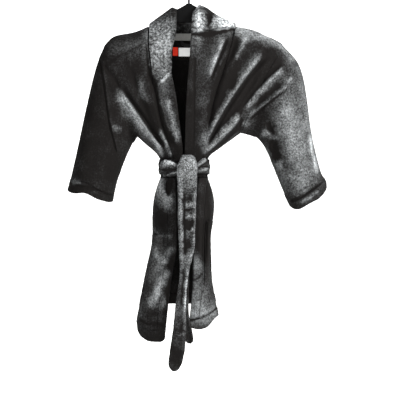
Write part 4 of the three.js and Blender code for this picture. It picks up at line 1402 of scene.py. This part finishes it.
@dataclass
class Belt:
    """The soft belt: round the waist through its two carriers, knotted, with two tails.

    Attributes:
        finishes: The materials.
        voxel: Size of the cells that join the knot's lobes.
    """

    finishes: Wardrobe
    voxel: float = 1.3

    def build(self) -> None:
        """Makes, dresses and seats every part of the belt."""
        self.waist()
        self.carriers()
        self.knot()
        self.long_tail()
        self.short_tail()

    def waist(self) -> None:
        """The belt round the waist, a little crushed."""
        piece = smooth_copy("belt_waist", "belt_waist_cloth", 3)
        points = read_points(piece)
        normals = read_normals(piece)
        x, y, z = points.T
        around = np.arctan2(x + 10.0, -y)
        crush = np.sin((z - BELT_MIDDLE) * 0.42 + np.sin(around * 5.0) * 1.2) * 0.45
        points += normals * (crush + soft_noise(points, 3.0, 41) * 0.25)[:, None]
        # The bands at the crush's spacing are painted highlights on its ripples; the noise is the pile's
        # random tone.
        tone_and_painted_light = 0.13 + 0.07 * np.sin((z - BELT_MIDDLE) * 0.42) + 0.06 * soft_noise(points, 14.0, 42)
        finish_cloth(piece, points, tone_and_painted_light, self.finishes.belt)
        attach(piece, "belt_waist", "robe")

    def carriers(self) -> None:
        """The two loops at the side seams that the belt runs through."""
        for node in ("right_belt_loop", "left_belt_loop"):
            piece = smooth_copy(node, f"{node}_cloth", 3)
            points = read_points(piece)
            normals = read_normals(piece)
            points += normals * (soft_noise(points, 3.0, 43) * 0.15)[:, None]
            middle = points[:, 0].mean()
            side = np.sign(middle)
            points[:, 0] -= 4.5 * side * smooth_step(side * (points[:, 0] - middle), -4.0, 4.0)
            finish_cloth(piece, points, np.full(len(points), 0.03), self.finishes.hem)
            attach(piece, node, "robe")

    def strip(self, route: list[tuple[float, float, float]], widths: list[float], thick: list[float],
              across: tuple[float, float, float], around: int = 20) -> bpy.types.Object:
        """A padded strip of belt along a route, as a closed tube of oval section.

        Args:
            route: Points of its middle line.
            widths: Its width at each point.
            thick: Its thickness at each point.
            across: Direction of its width.
            around: How many points go round its section.

        Returns:
            The strip as a new object.
        """
        shape = bmesh.new()
        wide = Vector(across).normalized()
        rings = []
        for at, point in enumerate(route):
            ahead = Vector(route[min(at + 1, len(route) - 1)]) - Vector(route[max(at - 1, 0)])
            face = wide.cross(ahead.normalized()).normalized()
            ring = []
            for step in range(around):
                turn = 2.0 * math.pi * step / around
                out = math.copysign(abs(math.cos(turn)) ** 0.75, math.cos(turn))
                up = math.copysign(abs(math.sin(turn)) ** 0.9, math.sin(turn))
                spot = Vector(point) + wide * (out * widths[at] / 2) + face * (up * thick[at] / 2)
                ring.append(shape.verts.new(spot * MM))
            rings.append(ring)
        for low, high in zip(rings, rings[1:]):
            for step in range(around):
                after = (step + 1) % around
                shape.faces.new((low[step], low[after], high[after], high[step]))
        shape.faces.new(rings[0][::-1])
        shape.faces.new(rings[-1])
        bmesh.ops.recalc_face_normals(shape, faces=shape.faces[:])
        mesh = bpy.data.meshes.new("strip")
        shape.to_mesh(mesh)
        shape.free()
        made = bpy.data.objects.new("strip", mesh)
        bpy.context.collection.objects.link(made)
        return made

    def knot(self) -> None:
        """The knot's cloth behind the front turn: a big lobe, a small one and their tucks."""
        pieces = [
            self.strip([(-3, -54, -376), (-3, -57, -386), (-3, -57, -400), (-3, -55, -414)],
                       [24, 32, 34, 30], [12, 16, 16, 12], (1, 0, 0)),
            self.strip([(-16, -60, -403), (-26, -63, -401), (-36, -64.5, -398), (-46, -62, -396),
                        (-53, -57, -397), (-57, -50, -399)],
                       [12, 16, 21, 23, 20, 10], [10, 13, 16, 16, 13, 8], (-0.08, 0, 1)),
            self.strip([(-16, -60, -411), (-28, -60, -413), (-38, -57, -415.5), (-45, -52, -417)],
                       [8, 9, 7, 3], [8, 9, 7, 3], (0.1, 0, 1)),
            self.strip([(10, -61, -406), (19, -62, -399), (26, -60, -392), (32, -56, -386),
                        (35, -51, -383.5)],
                       [10, 13, 13, 11, 5], [10, 13, 12, 9, 5], (-0.6, 0, 0.75)),
            self.strip([(8, -59, -408), (20, -57, -408), (32, -52, -406), (40, -46, -404)],
                       [10, 11, 10, 7], [8, 9, 8, 6], (0, 0, 1)),
        ]
        piece = pieces[0]
        with bpy.context.temp_override(
            active_object=piece, selected_objects=pieces, selected_editable_objects=pieces
        ):
            bpy.ops.object.join()
        piece.name = "belt_knot_cloth"
        joined = piece.modifiers.new("join", "REMESH")
        joined.mode = "VOXEL"
        joined.voxel_size = self.voxel * MM
        soft = piece.modifiers.new("soften", "SMOOTH")
        soft.factor = 0.5
        soft.iterations = 4
        settle(piece)
        points = read_points(piece)
        normals = read_normals(piece)
        # Creases with painted shade in them, painted highlights on the lobes, and a light base tone.
        creases = Relief((
            Fold(((-24, -404), (-32, -406), (-44, -407.5), (-55, -405)), 2.2, -2.2, -0.5, 0.05),
            Fold(((-54, -394), (-46, -390), (-34, -390), (-26, -394)), 3.6, 0.8, 0.3),
            Fold(((-50, -399), (-42, -397.5), (-32, -398.5), (-25, -401)), 1.8, -0.9, -0.25),
            Fold(((20, -404), (27, -398), (36, -392)), 2.2, -2.4, -0.5, 0.05),
            Fold(((19, -393), (25, -386), (31, -380)), 2.0, -1.0, -0.2),
            Fold(((18, -409), (30, -409), (40, -406)), 3.0, 0.3, 0.1),
        ), (
            Patch((-42, -392), (16, 8), 0.25), Patch((28, -386), (9, 8), 0.3),
            Patch((-30, -413), (14, 5), 0.2),
        ), 0.46)
        tall, light = creases.at(points[:, 0], points[:, 2])
        ahead = smooth_step(-normals[:, 1], 0.0, 0.5)
        points += normals * (tall * ahead + soft_noise(points, 3.4, 51) * 0.4)[:, None]
        # Painted shade: the knot's undersides are darker and its tops lighter.
        painted_underside_shade = 0.35 + 0.65 * smooth_step(normals[:, 2], -0.7, 0.5)
        finish_cloth(piece, points, light * painted_underside_shade + 0.1 * soft_noise(points, 9.0, 52), self.finishes.belt)
        attach(piece, "belt_knot", "robe")

    def long_relief(self) -> Relief:
        """The rolled edge and cross creases of the long tail, with painted highlights on their crests and
        painted shade in their creases and dents, and broad lighter and darker patches.

        Returns:
            The folds and patches.
        """
        folds = (
            Fold(((-17, -412), (-17, -500), (-14.5, -560), (-14, -610)), 4.2, 2.0, 0.17, 0.02),
            Fold(((-9, -440), (-10, -500), (-8.5, -560), (-7, -590)), 2.8, -2.2, -0.3, 0.15),
            Fold(((-7, -478), (2, -476), (9, -480)), 3.2, 2.4, 0.3, 0.15),
            Fold(((-8, -505), (2, -499), (12, -501)), 3.0, 2.4, 0.3, 0.15),
            Fold(((-6, -532), (3, -530), (10, -526)), 3.0, 2.2, 0.25, 0.15),
            Fold(((-5, -579), (7, -581)), 3.0, 1.4, 0.2, 0.2),
            Fold(((11, -430), (12, -500), (10, -560), (4, -596)), 3.0, 1.2, 0.16, 0.1),
            Fold(((-10, -600), (-12, -640), (-16, -690)), 3.0, -1.5, -0.22),
            Fold(((-1, -606), (-4, -640), (-8, -700)), 2.4, 1.0, 0.4, 0.1),
            Fold(((-8, -640), (-9, -700), (-10, -760)), 3.5, 1.2, 0.16),
            Fold(((-26, -736), (-18, -742), (-10, -738)), 4.0, 0.9, 0.12),
            Fold(((-36, -776), (-26, -783), (-14, -778)), 4.0, -1.2, -0.12),
        )
        return Relief(folds, (
            Patch((-3, -396), (24, 30), 0.22), Patch((-4, -440), (20, 26), -0.06),
            Patch((1, -462), (8, 9), -0.3, -2.0), Patch((1, -489), (10, 5), -0.5, -2.6),
            Patch((0, -517), (10, 11), -0.6, -2.8), Patch((-1, -559), (8, 15), -0.5, -2.2),
            Patch((-28, -790), (34, 62), -0.3), Patch((-14, -690), (24, 70), -0.18),
        ), 0.38)

    def long_tail(self) -> None:
        """The turn that comes over the front of the knot and falls as the long tail."""
        course = (  # x, y and z of its middle, its width and its thickness
            (-1, -50, -386, 16, 6), (-0.5, -58, -380, 20, 8), (0, -66, -379, 23, 9),
            (-0.5, -72, -382.5, 29, 10), (-1.5, -76, -389, 36, 10), (-2.8, -77, -398, 41, 10),
            (-3.2, -75.5, -408, 42, 9.5), (-3.2, -73, -422, 41, 9), (-2.8, -70, -440, 39.5, 8),
            (-3.2, -68, -467, 37.5, 7.5), (-3.6, -67, -498, 36.5, 7), (-4.2, -67, -529, 35, 7),
            (-3.6, -67, -556, 33, 7), (-4.4, -67, -574, 30, 7), (-5.8, -67, -590, 25, 7.5),
            (-8, -67, -605, 20, 8), (-9.6, -67, -622, 17.5, 8), (-13, -67, -650, 18.5, 8),
            (-15.6, -67, -672, 21, 8), (-17, -67, -702, 24.5, 7.5), (-18.7, -67, -734, 27.5, 7),
            (-22.6, -67, -772, 31, 7), (-26.6, -67, -795, 29.5, 7), (-28.6, -67, -807, 25, 6.5),
            (-29.2, -67, -814, 17, 5.5), (-29.4, -67, -816.5, 7, 3),
        )
        fine: list[tuple[float, ...]] = []
        for low, high in zip(course, course[1:]):
            steps = max(1, round(math.dist(low[:3], high[:3]) / 2.4))
            fine += [tuple(a + (b - a) * k / steps for a, b in zip(low, high)) for k in range(steps)]
        fine.append(course[-1])
        rows = np.array(fine)
        for _ in range(6):
            rows[1:-1] = 0.25 * rows[:-2] + 0.5 * rows[1:-1] + 0.25 * rows[2:]
        route = [tuple(row[:3]) for row in rows]
        piece = self.strip(route, list(rows[:, 3]), list(rows[:, 4]), (1, 0, 0), 44)
        piece.name = "belt_tail_long_cloth"
        divide = piece.modifiers.new("smooth", "SUBSURF")
        divide.levels = divide.render_levels = 1
        settle(piece)
        points = read_points(piece)
        normals = read_normals(piece)
        tall, light = self.long_relief().at(points[:, 0], points[:, 2])
        ahead = smooth_step(-normals[:, 1], 0.0, 0.6)
        points[:, 1] -= tall * ahead
        points += normals * (soft_noise(points, 3.2, 61) * 0.4 + soft_noise(points, 8.0, 63) * 0.35)[:, None]
        finish_cloth(piece, points, light + 0.08 * soft_noise(points, 12.0, 62), self.finishes.belt)
        knotted, free = (-0.003, -0.070, -0.402), (-0.003, -0.070, -0.446)
        attach(piece, "belt_tail_long", "robe", "long_tail", knotted, free)

    def short_relief(self) -> Relief:
        """A few cross creases of the short tail, with small painted highlights along them."""
        return Relief(tuple(
            Fold(((-10, z), (0, z + 1), (10, z)), 5.0, 0.9, 0.1, 0.1) for z in (-450, -500, -560, -620, -690)
        ), (), 0.13)

    def short_tail(self) -> None:
        """The short tail behind the long one, folded along its length and creased across."""
        piece = smooth_copy("belt_tail_short", "belt_tail_short_cloth", 3)
        points = read_points(piece)
        normals = read_normals(piece)
        x, _, z = points.T
        tall, light = self.short_relief().at(x, z)
        top = z.max()
        free = smooth_step(top - z, 6.0, 26.0)
        end = np.clip((z.min() + 12.0 - z) / 12.5, 0.0, 1.0)
        middle = x[z < z.min() + 14.0].mean()
        points[:, 0] = np.where(end > 0.0, middle + (x - middle) * np.sqrt(1.0 - end**2), x)
        points[:, 1] += free * (1.6 * np.sin((top - z) / 31.0) - tall)
        points += normals * (soft_noise(points, 3.0, 61) * 0.3 * free)[:, None]
        finish_cloth(piece, points, light + 0.08 * soft_noise(points, 12.0, 62), self.finishes.belt)
        attach(piece, "belt_tail_short", "short_tail")


@dataclass
class Studio:
    """The pale floor and wall, the soft lights and the camera.

    Attributes:
        distance: From the camera to the robe, in metres.
        seen_height: Height of what the camera sees at the robe, in metres.
        aim: What the camera looks at, in metres.
        floor_z: Height of the floor, in metres.
        wall_y: y of the wall behind the robe, in metres.
        half_width: Half the width of the floor and the wall, in metres.
    """

    distance: float = 2.2
    seen_height: float = 0.84
    aim: tuple[float, float, float] = (0.0231, 0.0, -0.4675)
    floor_z: float = -1.05
    wall_y: float = 3.8
    half_width: float = 7.0

    def build(self) -> None:
        """Makes the floor, the lights and the camera."""
        self.sweep()
        self.light("key", (1.35, -1.25, 0.65), 0.6, 72.0)
        self.light("front", (-0.2, -2.3, -0.1), 1.2, 14.0)
        self.light("rim", (1.5, 0.6, 0.6), 0.8, 26.0)
        world = bpy.data.worlds.new("soft room")
        world.use_nodes = True
        world.node_tree.nodes["Background"].inputs["Color"].default_value = (1.0, 1.0, 1.0, 1.0)
        world.node_tree.nodes["Background"].inputs["Strength"].default_value = 0.32
        bpy.context.scene.world = world
        bpy.context.scene.view_settings.view_transform = "Standard"
        self.camera()

    def sweep(self) -> None:
        """A floor that curves up into a plain wall well behind the robe."""
        bend, steps = 1.6, 12
        profile = [(-6.0, self.floor_z), (self.wall_y - bend, self.floor_z)]
        for step in range(1, steps + 1):
            turn = math.radians(90 * step / steps)
            rise = bend * (1 - math.cos(turn))
            profile.append((self.wall_y - bend + bend * math.sin(turn), self.floor_z + rise))
        profile.append((self.wall_y, 5.0))
        shape = bmesh.new()
        left = [shape.verts.new((-self.half_width, y, z)) for y, z in profile]
        right = [shape.verts.new((self.half_width, y, z)) for y, z in profile]
        for at in range(len(profile) - 1):
            shape.faces.new((left[at], right[at], right[at + 1], left[at + 1]))
        mesh = bpy.data.meshes.new("pale_floor")
        shape.to_mesh(mesh)
        shape.free()
        mesh.polygons.foreach_set("use_smooth", [True] * len(mesh.polygons))
        floor = bpy.data.objects.new("pale_floor", mesh)
        bpy.context.collection.objects.link(floor)
        material = bpy.data.materials.new("pale_floor")
        material.use_nodes = True
        shader = material.node_tree.nodes["Principled BSDF"]
        shader.inputs["Base Color"].default_value = (0.9, 0.9, 0.9, 1.0)
        shader.inputs["Roughness"].default_value = 0.95
        shader.inputs["Emission Color"].default_value = (1.0, 1.0, 1.0, 1.0)
        shader.inputs["Emission Strength"].default_value = 0.8
        floor.data.materials.append(material)

    def light(self, name: str, place: tuple[float, float, float], size: float, power: float) -> None:
        """A soft square light that faces the robe.

        Args:
            name: Its name.
            place: Where it stands, in metres.
            size: Length of its side, in metres.
            power: Its power in watts.
        """
        data = bpy.data.lights.new(name, "AREA")
        data.size = size
        data.energy = power
        lamp = bpy.data.objects.new(name, data)
        lamp.location = place
        lamp.rotation_euler = (Vector((0.0, 0.0, -0.4)) - Vector(place)).to_track_quat("-Z", "Y").to_euler()
        bpy.context.collection.objects.link(lamp)

    def camera(self) -> None:
        """The camera, level with the middle of the robe."""
        data = bpy.data.cameras.new("camera")
        data.angle = 2.0 * math.atan(self.seen_height / 2.0 / self.distance)
        eye = bpy.data.objects.new("camera", data)
        eye.location = (self.aim[0], -self.distance, self.aim[2])
        eye.rotation_euler = (math.radians(90), 0.0, 0.0)
        bpy.context.collection.objects.link(eye)
        bpy.context.scene.camera = eye


def main() -> None:
    """Builds the studio and every sub-assembly in order."""
    logging.basicConfig(level=logging.INFO, format="%(name)s: %(message)s")
    Studio().build()
    finishes = Wardrobe()
    front, back = front_relief(), back_relief()
    made: dict[str, bpy.types.Object] = {}
    Hanger(finishes).build()
    Bodice(finishes, front, back, made).build()
    Sleeves(finishes, front, back, made).build()
    Pockets(finishes, front, back, made).build()
    Hood(finishes, front, back, made).build()
    NeckDetails(finishes).build()
    Belt(finishes).build()
    log.info("all pieces made")


if __name__ == "__main__":
    main()
